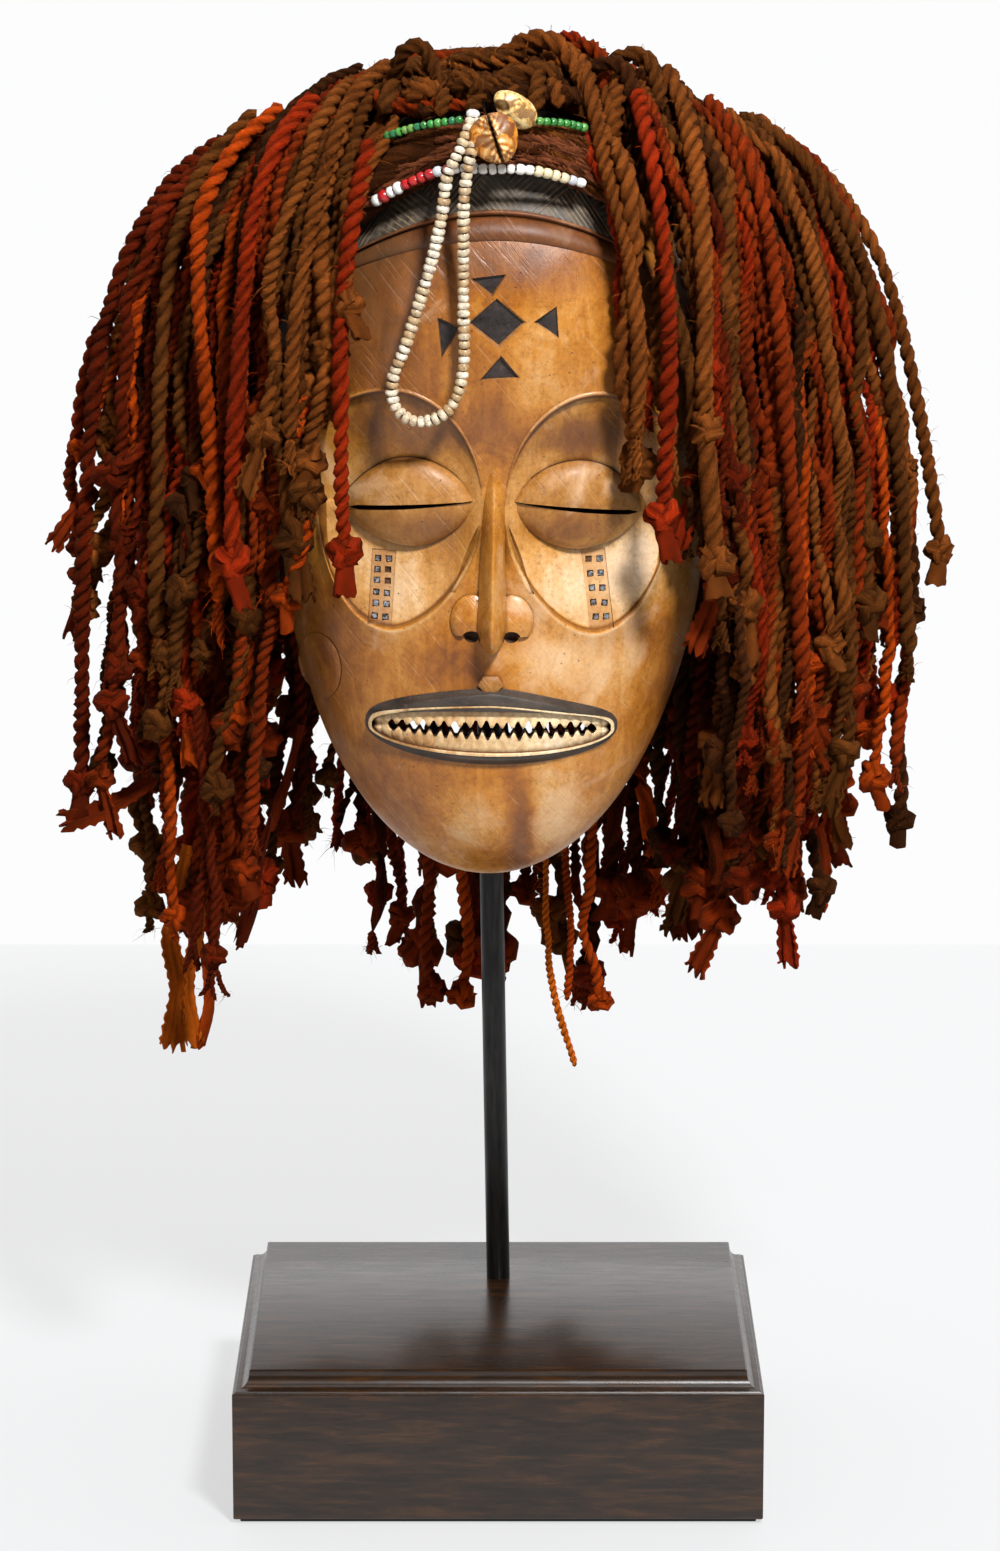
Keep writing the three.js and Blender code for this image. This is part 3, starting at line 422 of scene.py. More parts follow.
def makeSocketEdge(sign, shape):  # the thin raised line along the brow, and the crest under the cheek
    socket = faceShape["socket"]

    def place(a, b):
        x, z = socketOutline(sign, mix(shape["from"], shape["to"], a))
        grow = 1 + mix(shape["inside"], shape["outside"], b) * np.minimum(1, 4 * a * (1 - a) + 0.15) / 40
        return mix(sign * socket["x"], x, grow), mix(socket["z"], z, grow)

    def front(a, b, x, z):
        crest = ease(0, 0.05, b) * (1 - b) ** 1.3
        if shape["colour"] == "edge":
            crest = np.sin(np.pi * np.clip(b, 0.02, 0.98)) ** 0.6
        return shape["height"] * crest * ease(0, 0.1, a) * ease(1, 0.94, a) - 0.05
    return makeSlab(90, 8, place, front, level(-5), shape["colour"])


def almond(a):  # along from -1 to 1, and the half height of the eye there
    along = -np.cos(np.pi * a)
    return along, faceShape["eye"]["halfHeight"] * np.maximum(0, 1 - along ** 2) ** 0.8


def eyeMiddle(along):  # the eye's outer corner hangs a little
    return faceShape["eye"]["z"] - faceShape["eye"]["droop"] * ease(0.2, 1, along)


def eyeDome(along, up):
    shape = faceShape["eye"]
    length = np.maximum(0, 1 - along ** 2) ** 0.6
    height = np.maximum(0, 1 - np.abs(up) ** 2.6) ** 0.7
    return shape["rim"] + shape["bulge"] * length * height


def slitZ(x):
    shape = faceShape["slit"]
    share = (np.abs(x) - shape["inner"]) / (shape["outer"] - shape["inner"])
    return mix(shape["innerZ"], shape["outerZ"], share)


def makeEye(sign):
    shape = faceShape["eye"]

    def place(a, b):
        along, half = almond(a)
        return sign * (shape["x"] + shape["halfLength"] * along), eyeMiddle(along) + half * (2 * b - 1)

    def front(a, b, x, z):
        return eyeDome(almond(a)[0], 2 * b - 1)
    return makeSlab(70, 44, place, front, level(-9), "lid", "crevice")


def makeEyeLine(sign):  # the dark line cut round the eye
    shape = faceShape["eye"]

    def place(a, b):
        along, up = around(a)
        reach = shape["halfHeight"] * np.sign(up) * np.maximum(0, 1 - along ** 2) ** 0.8
        grow = mix(0.98, 1.012, b)
        return sign * (shape["x"] + shape["halfLength"] * along * grow), eyeMiddle(along) + reach * grow

    def front(a, b, x, z):
        return socketFloor(x, z) - surfaceForward(x, z) + 0.15
    return makeSlab(120, 3, place, front, level(-11), "ridge")


def makeUpperLid(sign):
    shape = faceShape["eye"]

    def place(a, b):
        along, half = almond(mix(0.04, 0.96, a))
        x = sign * (shape["x"] + shape["halfLength"] * along)
        top = eyeMiddle(along) + half * 0.97
        return x, mix(np.minimum(slitZ(x) + 0.3, top - 0.2), top, b)

    def front(a, b, x, z):
        along, half = almond(mix(0.04, 0.96, a))
        up = (z - eyeMiddle(along)) / np.maximum(half, 0.1)
        step = shape["lidStep"] * (1 - b) ** 0.6 * (4 * a * (1 - a)) ** 0.4
        return eyeDome(along, np.clip(up, -1, 1)) + step
    return makeSlab(70, 20, place, front, level(-9), "lid")


def makeNose():
    def place(a, b):
        z = mix(91, 158, b)
        return (2 * a - 1) * alongProfile(faceShape["noseWidth"], z), z

    def front(a, b, x, z):
        side = np.abs(2 * a - 1)
        ridge = alongProfile(faceShape["noseRidge"], z)
        wedge = 1 - np.sqrt(side ** 2 + 0.012) / math.sqrt(1.012)
        return -1.2 + (ridge + 1.2) * wedge ** 0.66
    return makeSlab(30, 60, place, front, level(-6), "skin")


def makeNoseGroove(sign):  # the narrow furrow beside the nose
    def place(a, b):
        centre = mix(5.4, 14.6, b ** 1.15)
        z = mix(136, 111, b)
        half = mix(0.4, 2.2, np.sin(np.pi * np.clip(b, 0, 0.93)) ** 0.8)
        return sign * (centre + (2 * a - 1) * half), z

    def floor(a, b, x, z):
        return -3.0 * (1 - np.abs(2 * a - 1) ** 1.4) * np.sin(np.pi * np.clip(b, 0.02, 0.98)) ** 0.7 - 0.2
    return makeSlab(10, 30, place, level(12), floor, "socket")


def makeKnob(sign, shape):  # a wing of the nose, or the hollow of a nostril
    bm = bmesh.new()
    bmesh.ops.create_uvsphere(bm, u_segments=40, v_segments=26, radius=1)
    for vert in bm.verts:
        vert.co.z = max(vert.co.z, -shape["cut"] + 0.1 * vert.co.z)
        if shape["cut"] < 1:  # it fades out above
            vert.co.y *= 1 - 0.55 * max(0, vert.co.z)
    bmesh.ops.scale(bm, vec=shape["radii"], verts=bm.verts)
    x, z = sign * shape["x"], shape["z"]
    bmesh.ops.translate(bm, vec=(x, -float(surfaceForward(x, z)) - shape["lift"], z), verts=bm.verts)
    for face in bm.faces:
        face.material_index = paint[shape["colour"]]
    return closed(bm)


def makeLens(rows, sizes, arch, front, back, colour):  # blunt at the ends, a little pointed above its middle
    mouth = faceShape["mouth"]
    halfLength, upper, lower = sizes

    def place(a, b):
        along, up = around(a)
        half = np.maximum(0, 1 - along ** 2)
        top = upper * mix(half ** 0.36, 1 - np.abs(along), arch) * (1 - 0.12 * ease(0, 0.8, along))
        height = np.where(up > 0, top, -lower * half ** 0.45)
        return mouth["x"] + halfLength * along * b, mouth["z"] + mix(3.5, height, b)
    return makeSlab(180, rows, place, front, level(back), colour)


def makeLips():
    mouth = faceShape["mouth"]

    def front(a, b, x, z):
        return mix(0.25, mouth["height"], ease(1.0, 0.84, b))
    return makeLens(22, mouth["lips"], 0.22, front, -6, "lips")


def makeLipEdge():
    mouth = faceShape["mouth"]

    def front(a, b, x, z):
        return mouth["height"] + 0.35 - 1.5 * ease(0.93, 0.8, b)
    return makeLens(16, mouth["edge"], 0.1, front, -5, "bone")


def gapMiddle(x):
    shape = faceShape["gap"]
    return faceShape["mouth"]["z"] + 0.4 + shape["rise"] * np.maximum(0, 1 - (x / shape["halfLength"]) ** 2)


def makeTeethHollow():
    mouth, shape = faceShape["mouth"], faceShape["teeth"]

    def place(a, b):
        along = -np.cos(np.pi * a)
        half = np.maximum(0, 1 - along ** 2)
        z = mouth["z"] + mix(-shape["lower"] * half ** 0.42, shape["upper"] * half ** 0.36, b)
        return mouth["x"] + shape["halfLength"] * along, z

    def floor(a, b, x, z):
        fromGap = np.abs(z - gapMiddle(x - mouth["x"]))
        tooth = np.abs(np.cos(np.pi * (x - mouth["x"]) / shape["pitch"])) ** 0.7
        root = ease(6.5, 2.5, fromGap)
        crown = shape["ridge"] * tooth * root + 0.4 * ease(3, 7, fromGap)
        return shape["floor"] + crown - 1.1 * ease(2.0, 0.0, fromGap)
    return makeSlab(300, 34, place, level(12), floor, "bone", "rim", "bone")


def makeGap():  # the dark gap, with a notch above and below between every two teeth
    mouth, shape, pitch = faceShape["mouth"], faceShape["gap"], faceShape["teeth"]["pitch"]
    count = int(shape["halfLength"] * 2 / pitch)
    upper, lower = [], []
    for i in range(count):
        for side, edge in ((1, upper), (-1, lower)):
            centre = (i - (count - 1) / 2) * pitch + pitch / 2 * (side < 0) * 0.3
            narrow = 1 - 0.45 * abs(centre / shape["halfLength"]) ** 3
            notch = shape["notch"] * narrow * luck.uniform(0.8, 1.15)
            opening = shape["opening"] / 2 * narrow * luck.uniform(0.75, 1.3)
            for offset, reach in ((-1.6, opening), (-0.45, opening + notch * 0.93), (0.1, opening + notch),
                                  (0.55, opening + notch * 0.9), (1.6, opening)):
                x = centre + offset + luck.uniform(-0.12, 0.12)
                edge.append((mouth["x"] + x, float(gapMiddle(x)) + side * reach))
    return makePrism(upper + lower[::-1], -95, -20, "inside", 1)


def makePrism(corners, frontY, backY, colour, taper, wall=None):
    bm = bmesh.new()
    verts = [bm.verts.new((x, frontY, z)) for x, z in corners]
    first = bm.faces.new(verts)
    made = bmesh.ops.extrude_face_region(bm, geom=[first], use_keep_orig=True)
    behind = onlyVerts(made)
    ends = [first] + [item for item in made["geom"] if isinstance(item, bmesh.types.BMFace)]
    bmesh.ops.translate(bm, vec=(0, backY - frontY, 0), verts=behind)
    middle = sum((vert.co for vert in behind), Vector()) / len(behind)
    bmesh.ops.scale(bm, vec=(taper, 1, taper), verts=behind, space=Matrix.Translation(-middle))
    for face in bm.faces:
        face.material_index = paint[wall or colour]
    for face in ends:
        face.material_index = paint[colour]
    bmesh.ops.triangulate(bm, faces=ends)
    return closed(bm)


def makeSlit(sign):
    shape = faceShape["slit"]
    inner, outer, half = shape["inner"], shape["outer"], shape["height"] / 2
    line = [(inner, 0.15), (inner + 8, 0.55 * half), (mix(inner, outer, 0.55), half), (outer - 3, half),
            (outer, 0.3)]
    corners = [(sign * x, float(slitZ(x)) + reach) for x, reach in line]
    corners += [(sign * x, float(slitZ(x)) - reach) for x, reach in line[::-1]]
    return makePrism(corners, -90, 5, "inside", 1)


def makeMotifs(grow, depth, colour):  # the cut diamond and triangles of the forehead
    prisms = []
    for corners in faceShape["motifs"]:
        middle = np.mean(np.array(corners), axis=0)
        skin = float(surfaceForward(*middle))
        grown = mix(middle, np.array(corners), grow)
        prisms.append(makePrism(grown, -(skin + 3), -(skin - depth), colour, 0.8, "edge"))
    return together(prisms)


def inlayPlaces(side):
    shape = faceShape["inlay"]
    x0, z0, lean, rows, down = shape[side]
    for row in range(rows):
        for column in (-0.5, 0.5):
            x = x0 + lean * row + column * shape["across"] + luck.uniform(-0.15, 0.15)
            yield x, z0 - row * down + luck.uniform(-0.3, 0.3) + 0.1 * column


inlaySpots = list(inlayPlaces("right")) + list(inlayPlaces("left"))


def socketFloor(x, z):  # how far the dished socket stands forward at a place
    shape = faceShape["socket"]
    share = np.hypot((np.abs(x) - shape["x"]) / shape["inner"], (z - shape["z"]) / shape["bottom"])
    return surfaceForward(x, z) - shape["depth"] - shape["dish"] * (1 - np.clip(share, 0, 1) ** 2)


def makeTearStrip(side):  # the shallow upright strip in which the chips of metal sit
    x0, z0, lean, rows, pitch = faceShape["inlay"][side]

    def place(a, b):
        row = mix(-0.75, rows - 0.3, 1 - b)
        return x0 + lean * row + mix(-4.5, 4.5, a), z0 - row * pitch

    def floor(a, b, x, z):
        return socketFloor(x, z) - surfaceForward(x, z) - 0.4
    return makeSlab(8, 30, place, level(12), floor, "edge")


def makePocket(x, z):
    half, depth = faceShape["inlay"]["size"] / 2, faceShape["inlay"]["depth"]
    forward = float(socketFloor(x, z))
    turn = luck.uniform(-0.12, 0.12)
    corners = [(x + half * (across - turn * up), z + half * (up + turn * across))
               for across, up in ((-1, -1), (1, -1), (1, 1), (-1, 1))]
    return makePrism(corners, -(forward + 3), -(forward - depth), "crevice", 0.85, "edge")


def bowed(line, x):
    return line["z"] - line["drop"] * (x / line["span"]) ** 2


def makeRim(first, last, height, colour):  # a rounded ridge across the top of the forehead
    def place(a, b):
        x = mix(-54, 54, a)
        return x, mix(bowed(faceShape["rim"], x), bowed(faceShape["band"], x) + 2.2, mix(first, last, b))

    def front(a, b, x, z):
        return height * np.sin(np.pi * np.clip(b, 0, 1)) ** 0.7 - 0.1
    return makeSlab(80, 16, place, front, level(-4), colour)


def makeBand():
    def place(a, b):
        x = mix(-52, 52, a)
        return x, mix(bowed(faceShape["band"], x) + 1.0, bowed(faceShape["bandTop"], x), b)
    return makeSlab(80, 24, place, level(faceShape["band"]["height"] - 0.7), level(-4), "band")


def makeEar(sign):
    shape = faceShape["ear"]

    def place(a, b):
        across, up = around(a)
        return sign * (shape["x"] + shape["radiusX"] * across * b), shape["z"] + shape["radiusZ"] * up * b
    return makeSlab(60, 8, place, lambda a, b, x, z: shape["height"] * ease(1.1, 0.9, b), level(-4), "skin")


def makeBoss():
    shape = faceShape["boss"]

    def place(a, b):
        across, up = around(a)
        spread = shape["halfWidth"] * (1 + 0.18 * up)
        return spread * across * b, shape["z"] + shape["halfHeight"] * np.sign(up) * np.abs(up) ** 0.8 * b
    return makeSlab(6, 4, place, lambda a, b, x, z: shape["height"] * (1 - 0.3 * b ** 3), level(-3), "lid")


def together(builders):  # several solids that don't touch, as one
    whole = bmesh.new()
    for bm in builders:
        mesh = meshFrom(bm)
        whole.from_mesh(mesh)
        bpy.data.meshes.remove(mesh)
    return whole


def pair(build, *sizes):  # the same form on the left and on the right
    return together(build(sign, *sizes) for sign in (-1, 1))


def toWorld(places):  # from the upright face to where it hangs, in metres
    roll = math.radians(faceShape["rollDegrees"])
    x, y, z = places.T
    dx, dz = faceShape["place"]
    c, s = math.cos(roll), math.sin(roll)
    return np.stack([x * c + z * s + dx, y, z * c - x * s + dz], 1) * mm


def makeMask():
    body = newObject("bowl", meshFrom(makeBowl(160, 190, 0, 0, "skin")))
    tools = [body]
    steps = [
        ("DIFFERENCE", "core", makeBowl(60, 80, faceShape["wall"], 8, "inside")),
        ("UNION", "rim", makeRim(-0.25, 0.66, 1.9, "rim")),
        ("UNION", "ridge", makeRim(0.68, 1, 2.6, "rim")),
        ("UNION", "band", makeBand()),
        ("DIFFERENCE", "sockets", pair(makeSocket)),
        ("UNION", "brows", pair(makeSocketEdge, faceShape["brow"])),
        ("UNION", "cheeks", pair(makeSocketEdge, faceShape["cheek"])),
        ("UNION", "eye_lines", pair(makeEyeLine)),
        ("UNION", "eyes", pair(makeEye)),
        ("UNION", "lids", pair(makeUpperLid)),
        ("UNION", "ear", makeEar(-1)),
        ("DIFFERENCE", "furrows", pair(makeNoseGroove)),
        ("UNION", "nose", makeNose()),
    ]
    for sign in (-1, 1):
        steps.append(("UNION", "wing", makeKnob(sign, faceShape["wing"])))
        steps.append(("DIFFERENCE", "nostril", makeKnob(sign, faceShape["nostril"])))
    steps += [
        ("UNION", "lips", makeLips()),
        ("UNION", "lip_edge", makeLipEdge()),
        ("DIFFERENCE", "hollow", makeTeethHollow()),
        ("DIFFERENCE", "gap", makeGap()),
        ("UNION", "boss", makeBoss()),
        ("DIFFERENCE", "slits", pair(makeSlit)),
        ("DIFFERENCE", "frames", makeMotifs(1.36, faceShape["motifFrame"], "lid")),
        ("DIFFERENCE", "motifs", makeMotifs(1.24, faceShape["motifDepth"], "motif")),
        ("DIFFERENCE", "strips", together(makeTearStrip(side) for side in ("right", "left"))),
        ("DIFFERENCE", "pockets", together(makePocket(x, z) for x, z in inlaySpots)),
    ]
    for kind, name, bm in steps:
        tools.append(newObject(name, meshFrom(bm)))
        modifier = body.modifiers.new(name, "BOOLEAN")
        modifier.operation, modifier.solver, modifier.object = kind, "MANIFOLD", tools[-1]
    shaped = body.evaluated_get(bpy.context.evaluated_depsgraph_get())
    mesh = bpy.data.meshes.new_from_object(shaped)
    for tool in tools:
        bpy.data.meshes.remove(tool.data)
    places = np.empty(len(mesh.vertices) * 3)
    mesh.vertices.foreach_get("co", places)
    places = places.reshape(-1, 3)
    mesh.attributes.new("pale", "FLOAT", "POINT").data.foreach_set("value", wearAndPaintedLight(places))
    mesh.vertices.foreach_set("co", toWorld(places).ravel())
    mesh.update()
    return mesh


# Patches of paler wood (above 0) and darker wood (below 0): handling wear and stain, and also painted light:
# painted highlights on the lower cheeks, the nose ridge and the chin, painted shade under the brows and
# painted shadow of the hair down the sides of the face and forehead. Each has the x and z of its middle, a
# width, a height and how much
wearAndLightPatches = [
    (-26, 198, 22, 20, -0.4), (22, 190, 18, 20, 0.3), (0, 234, 46, 12, -0.8), (-46, 214, 20, 34, -1.2),
    (-20, 118, 12, 18, -1.0), (50, 215, 12, 44, -0.9), (0, 176, 9, 16, -0.7), (-32, 170, 24, 9, -1.3),
    (34, 170, 24, 9, -1.2), (-30, 152, 18, 5, 0.0), (32, 152, 18, 5, 0.1), (-30, 135, 22, 6, -1.0),
    (32, 135, 22, 6, -0.9), (-28, 114, 20, 14, 0.9), (34, 114, 20, 16, 1.0), (54, 124, 10, 16, 1.0),
    (0, 124, 3, 26, 0.4), (-14, 84, 24, 9, -0.7), (20, 86, 16, 8, 0.8), (42, 80, 20, 12, 0.4),
    (-60, 90, 14, 40, -0.7), (-40, 96, 12, 8, 0.1), (66, 80, 10, 40, -0.6), (-40, 44, 16, 26, -0.6),
    (-22, 32, 12, 18, -0.6), (2, 40, 14, 8, -0.4), (12, 18, 5, 22, -1.0), (25, 28, 9, 16, 1.0),
    (-8, 26, 11, 18, 0.8), (40, 44, 14, 14, 0.3), (0, 8, 24, 7, -0.3)]


def wearAndPaintedLight(places):
    x, z = places[:, 0], places[:, 2]
    amount = np.zeros(len(places))
    for middleX, middleZ, wide, high, much in wearAndLightPatches:
        amount += much * np.exp(-((x - middleX) / wide) ** 2 - ((z - middleZ) / high) ** 2)
    socket = faceShape["socket"]  # painted shade along the foot of the step round each socket, and a pale crest: painted highlight with wear
    across, up = np.abs(x) - socket["x"], z - socket["z"]
    wide = np.where(across < 0, socket["inner"], np.where(up > 0, socket["outerTop"], socket["outerBottom"]))
    power = np.where((across < 0) & (up < 0), 2 / 1.2, 2)
    share = (np.abs(across / wide) ** power
             + np.abs(up / np.where(up > 0, socket["top"], socket["bottom"])) ** power) ** (1 / power)
    beside = ease(-0.98, -0.7, across / wide)
    crest, foot = [np.exp(-((share - line) / 0.012) ** 2) for line in (1.016, 0.985)]
    amount += beside * (0.7 * crest - 1.5 * foot)
    return np.clip(amount, -1.3, 1)


# Wood and paint of the mask: where each tone starts, and its colour
woodTones = {
    "skin": [(0.18, (60, 26, 4)), (0.31, (112, 58, 10)), (0.43, (152, 90, 22)), (0.54, (178, 118, 46)),
             (0.66, (196, 148, 90)), (0.80, (214, 180, 142))],
    "socket": [(0.18, (72, 36, 8)), (0.31, (126, 74, 16)), (0.42, (162, 106, 34)), (0.54, (194, 142, 78)),
               (0.67, (216, 180, 136)), (0.82, (232, 206, 176))],
    "lid": [(0.18, (74, 40, 12)), (0.34, (126, 76, 24)), (0.48, (160, 108, 46)), (0.60, (184, 136, 82)),
            (0.76, (204, 166, 124))],
    "rim": [(0.22, (52, 22, 4)), (0.42, (98, 50, 10)), (0.58, (132, 74, 20)), (0.8, (168, 112, 52))],
    "ridge": [(0.22, (34, 12, 6)), (0.45, (74, 34, 12)), (0.65, (108, 56, 20)), (0.85, (150, 96, 50))],
    "edge": [(0.22, (110, 64, 26)), (0.45, (158, 104, 54)), (0.65, (190, 142, 90)),
             (0.85, (214, 176, 130))],
    "inside": [(0.25, (40, 26, 16)), (0.5, (72, 48, 30)), (0.75, (100, 70, 46))],
    "crevice": [(0.3, (26, 12, 4)), (0.55, (60, 32, 12)), (0.8, (100, 62, 28))],
    "bone": [(0.27, (112, 66, 28)), (0.41, (184, 138, 86)), (0.53, (222, 196, 152)),
             (0.66, (240, 224, 194)), (0.85, (250, 242, 226))],
}


def woodMaterial(name, tones, wear=0.5, hollowDirtAndShade=0.9, gloss=(0.26, 0.44), coat=0.12):
    material, place = newMaterial(name, Specular_IOR_Level=0.4, Coat_Weight=coat, Coat_Roughness=0.22)
    # the patch map: handling wear and stain, with painted highlights, painted shade and painted hair shadow
    # among its patches
    wearAndPaintedLight = painted(place, "pale", "Fac")
    streak = noiseOn(place, (160, 160, 26), 6, 0.68, 0.5)
    speck = noiseOn(place, 620, 4, 0.7)
    tone = weighed((noiseOn(place, 16, 3, 0.55, 0.6), 0.42), (streak, 0.30),
                   (noiseOn(place, 75, 4, 0.7, 1.5), 0.28), (wearAndPaintedLight, 0.20))
    colour = ramp(tone, *[(spot, tint(*rgb)) for spot, rgb in woodTones[tones]])
    mottled = ramp(speck, (0.30, (0.66, 0.60, 0.52)), (0.46, (0.96, 0.95, 0.93)),
                   (0.70, (1.16, 1.15, 1.13)))
    colour = blend(0.9, colour, mottled, "MULTIPLY")
    colour = blend(times(wearAndPaintedLight, -0.26), colour, tint(142, 100, 62))  # a dull smoky brown where the patch map goes below 0: smoke stain, and painted shade and shadow
    slanting = node("Mapping", Vector=place, Rotation=(0, 0.7, 0)).outputs[0]
    scored = noiseOn(slanting, (900, 60, 40), 2, 0.5)
    colour = blend(ramp(scored, (0.64, 0), (0.72, 0.10)), colour, tint(222, 190, 154))
    bald = noiseOn(place, 30, 5, 0.62, 1.2)
    # pale worn wood, led partly by the patch map, so it also brightens the painted highlights
    worn = ramp(maths("MULTIPLY_ADD", wearAndPaintedLight, 0.16, bald), (0.54, 0), (0.70, wear))
    colour = blend(worn, colour, tint(206, 168, 130))
    drip = noiseOn(place, (60, 60, 34), 6, 0.75, 1.0)
    stain = ramp(maths("MULTIPLY_ADD", wearAndPaintedLight, -0.05, drip), (0.57, 0), (0.71, 0.5))
    colour = blend(stain, colour, tint(104, 52, 14))
    pits = node("TexVoronoi", Vector=place, Scale=260, Randomness=1.0).outputs["Distance"]
    few = noiseOn(place, 45, 2, 0.5)
    pitMask = times(ramp(pits, (0.05, 1), (0.11, 0)), ramp(few, (0.46, 0), (0.58, 1)))
    colour = blend(times(pitMask, 0.8), colour, tint(66, 36, 18))
    # ambient occlusion darkens the narrow hollows to dark brown: painted shade, and the dirt that sits in
    # them
    hollow = node("AmbientOcclusion", {"samples": 10}, place.id_data, Distance=0.003).outputs["AO"]
    colour = blend(times(ramp(hollow, (0.25, 1), (0.80, 0)), hollowDirtAndShade), colour, tint(52, 24, 8))
    rough = ramp(bald, (0.35, gloss[0]), (0.66, gloss[1]))
    cuts = ramp(scored, (0.60, 0), (0.66, 0.35))
    height = weighed((streak, 0.6), (speck, 0.35), (cuts, -1), (pitMask, -0.8))
    return finishMaterial(material, colour, rough, height, 0.0005, 0.45)


def paintMaterial(name, dark, light, under, wear=0.35, gloss=0.42):
    material, place = newMaterial(name, Specular_IOR_Level=0.5)
    cloud = noiseOn(place, (70, 70, 200), 5, 0.7)
    chip = noiseOn(place, 420, 5, 0.72)
    colour = ramp(cloud, (0.3, tint(*dark)), (0.7, tint(*light)))
    colour = blend(ramp(chip, (0.60, 0), (0.70, wear)), colour, tint(*under))
    return finishMaterial(material, colour, ramp(chip, (0.3, gloss), (0.7, gloss + 0.2)), chip, 0.0004, 0.5)


def bandMaterial():  # blackened wood with fine slanting cuts in alternate triangles
    material, place = newMaterial("blackened carved band", Specular_IOR_Level=0.5)
    x0, z0 = faceShape["place"]
    upright = node("Mapping", {"vector_type": "TEXTURE"}, Vector=place, Location=(x0 * mm, 0, z0 * mm),
                   Rotation=(0, math.radians(faceShape["rollDegrees"]), 0), Scale=(mm, mm, mm)).outputs[0]
    parts = node("SeparateXYZ", Vector=upright)
    x, z = parts.outputs["X"], parts.outputs["Z"]
    band = faceShape["band"]
    up = maths("SUBTRACT", maths("MULTIPLY_ADD", times(x, x), band["drop"] / band["span"] ** 2, z), band["z"])
    rough = noiseOn(place, 260, 3, 0.6)
    wander = maths("MULTIPLY_ADD", rough, 0.9, -0.45)
    rising, falling = [maths("FRACT", weighed((x, 1 / 2.4), (up, way / 2.4), (wander, 1 / 2.4)))
                       for way in (1, -1)]
    fold = maths("PINGPONG", maths("ADD", x, 203.5), 15.5)
    which = maths("GREATER_THAN", fold, times(up, 0.95))
    line = weighed((rising, which), (falling, maths("SUBTRACT", 1.0, which)))
    cut = ramp(line, (0.0, 1), (0.20, 1), (0.36, 0), (0.90, 0), (1.0, 1))
    cut = times(cut, ramp(noiseOn(place, 90, 3, 0.6), (0.38, 0.1), (0.62, 0.9)))
    ground = ramp(rough, (0.3, tint(34, 29, 25)), (0.5, tint(64, 56, 48)), (0.7, tint(100, 88, 74)))
    colour = blend(cut, ground, tint(146, 122, 92))
    height = maths("SUBTRACT", times(rough, 0.3), cut)
    return finishMaterial(material, colour, ramp(rough, (0.3, 0.42), (0.7, 0.6)), height, 0.0006, 0.7)


maskSurfaces = [  # in the order of the names in paint
    woodMaterial("polished face wood", "skin"),
    woodMaterial("socket wood", "socket"),
    woodMaterial("eyelid wood", "lid", 0.6, 0.9, (0.4, 0.55), 0.04),
    # a dark brown for the inside of the nostrils, the walls behind the eyes and the floors of the metal
    # pockets
    woodMaterial("dark wood in the cuts", "crevice", 0.2, 0.6, (0.6, 0.8), 0.0),
    paintMaterial("blackened lips", (28, 23, 20), (72, 61, 52), (126, 88, 58), 0.5),
    woodMaterial("bone white teeth", "bone", 0.1, 1.0, (0.4, 0.55), 0.0),
    woodMaterial("brown rim wood", "rim", 0.25, 0.9, (0.44, 0.58), 0.0),
    bandMaterial(),
    paintMaterial("blackened motif", (22, 18, 17), (58, 50, 47), (120, 76, 42), 0.6, 0.2),
    woodMaterial("raw inner wood", "inside", 0.2, 0.7, (0.7, 0.85), 0.0),
    woodMaterial("worn carved edge", "edge", 0.3, 0.5),
    woodMaterial("dark red ridge", "ridge", 0.1, 0.6),
]
finishPiece("carved_mask", makeMask(), maskSurfaces, ["mask"], "carved_wood", 32)
print("mask carved")


def makeInlays():  # small chips of bright metal set in the cheeks
    bm = bmesh.new()
    shape = faceShape["inlay"]
    for i, (x, z) in enumerate(inlaySpots):
        if i in shape["lost"]:
            continue
        made = bmesh.ops.create_cube(bm, size=1)["verts"]
        size = shape["size"] * luck.uniform(0.62, 0.78)
        bmesh.ops.scale(bm, verts=made, vec=(size, 1.3, size))
        turn = Matrix.Rotation(luck.uniform(-0.25, 0.25), 3, "Z")
        turn = turn @ Matrix.Rotation(luck.uniform(-0.3, 0.3), 3, "Y")
        bmesh.ops.rotate(bm, verts=made, matrix=turn)
        for vert in made:
            if vert.co.y < 0:
                vert.co.y += luck.uniform(-0.35, 0.15)
        bmesh.ops.translate(bm, verts=made, vec=(x, 0.75 - float(socketFloor(x, z)), z))
    bmesh.ops.bevel(bm, geom=bm.edges[:], offset=0.22, affect="EDGES", segments=1, profile=0.5, material=-1)
    moveVerts(bm.verts, toWorld(np.array([tuple(vert.co) for vert in bm.verts])))
    return meshFrom(bm)


def inlayMetal():
    material, place = newMaterial("bright inlay metal", Metallic=0.9, Roughness=0.28)
    tarnish = noiseOn(place, 700, 4, 0.7)
    colour = ramp(tarnish, (0.38, tint(60, 60, 64)), (0.55, tint(190, 194, 202)),
                  (0.75, tint(236, 240, 246)))
    return finishMaterial(material, colour, None, tarnish, 0.0003, 0.6)


finishPiece("cheek_inlays", makeInlays(), [inlayMetal()], (), "black_steel", 30)
print("inlays set")


# The cords are twisted from two or three plies. Routes are in metres, from where each leaves the crown.
# "bump" is how far apart the plies show along a cord, for its radius.
rope = {"bump": 1.8, "sides": {2: (6, 8, 10), 3: (6, 9, 12)}, "ringsPerBump": 2.7,
        "groove": {2: 0.54, 3: 0.62}}
dyes = {
    "red": (140, 36, 8),
    "rust": (128, 42, 8),
    "burgundy": (94, 25, 5),
    "brown": (124, 66, 24),
    "umber": (92, 50, 17),
    "dark": (60, 30, 11),
    "taupe": (112, 62, 38),
    "orange": (172, 62, 9),
    "amber": (216, 104, 22),
}


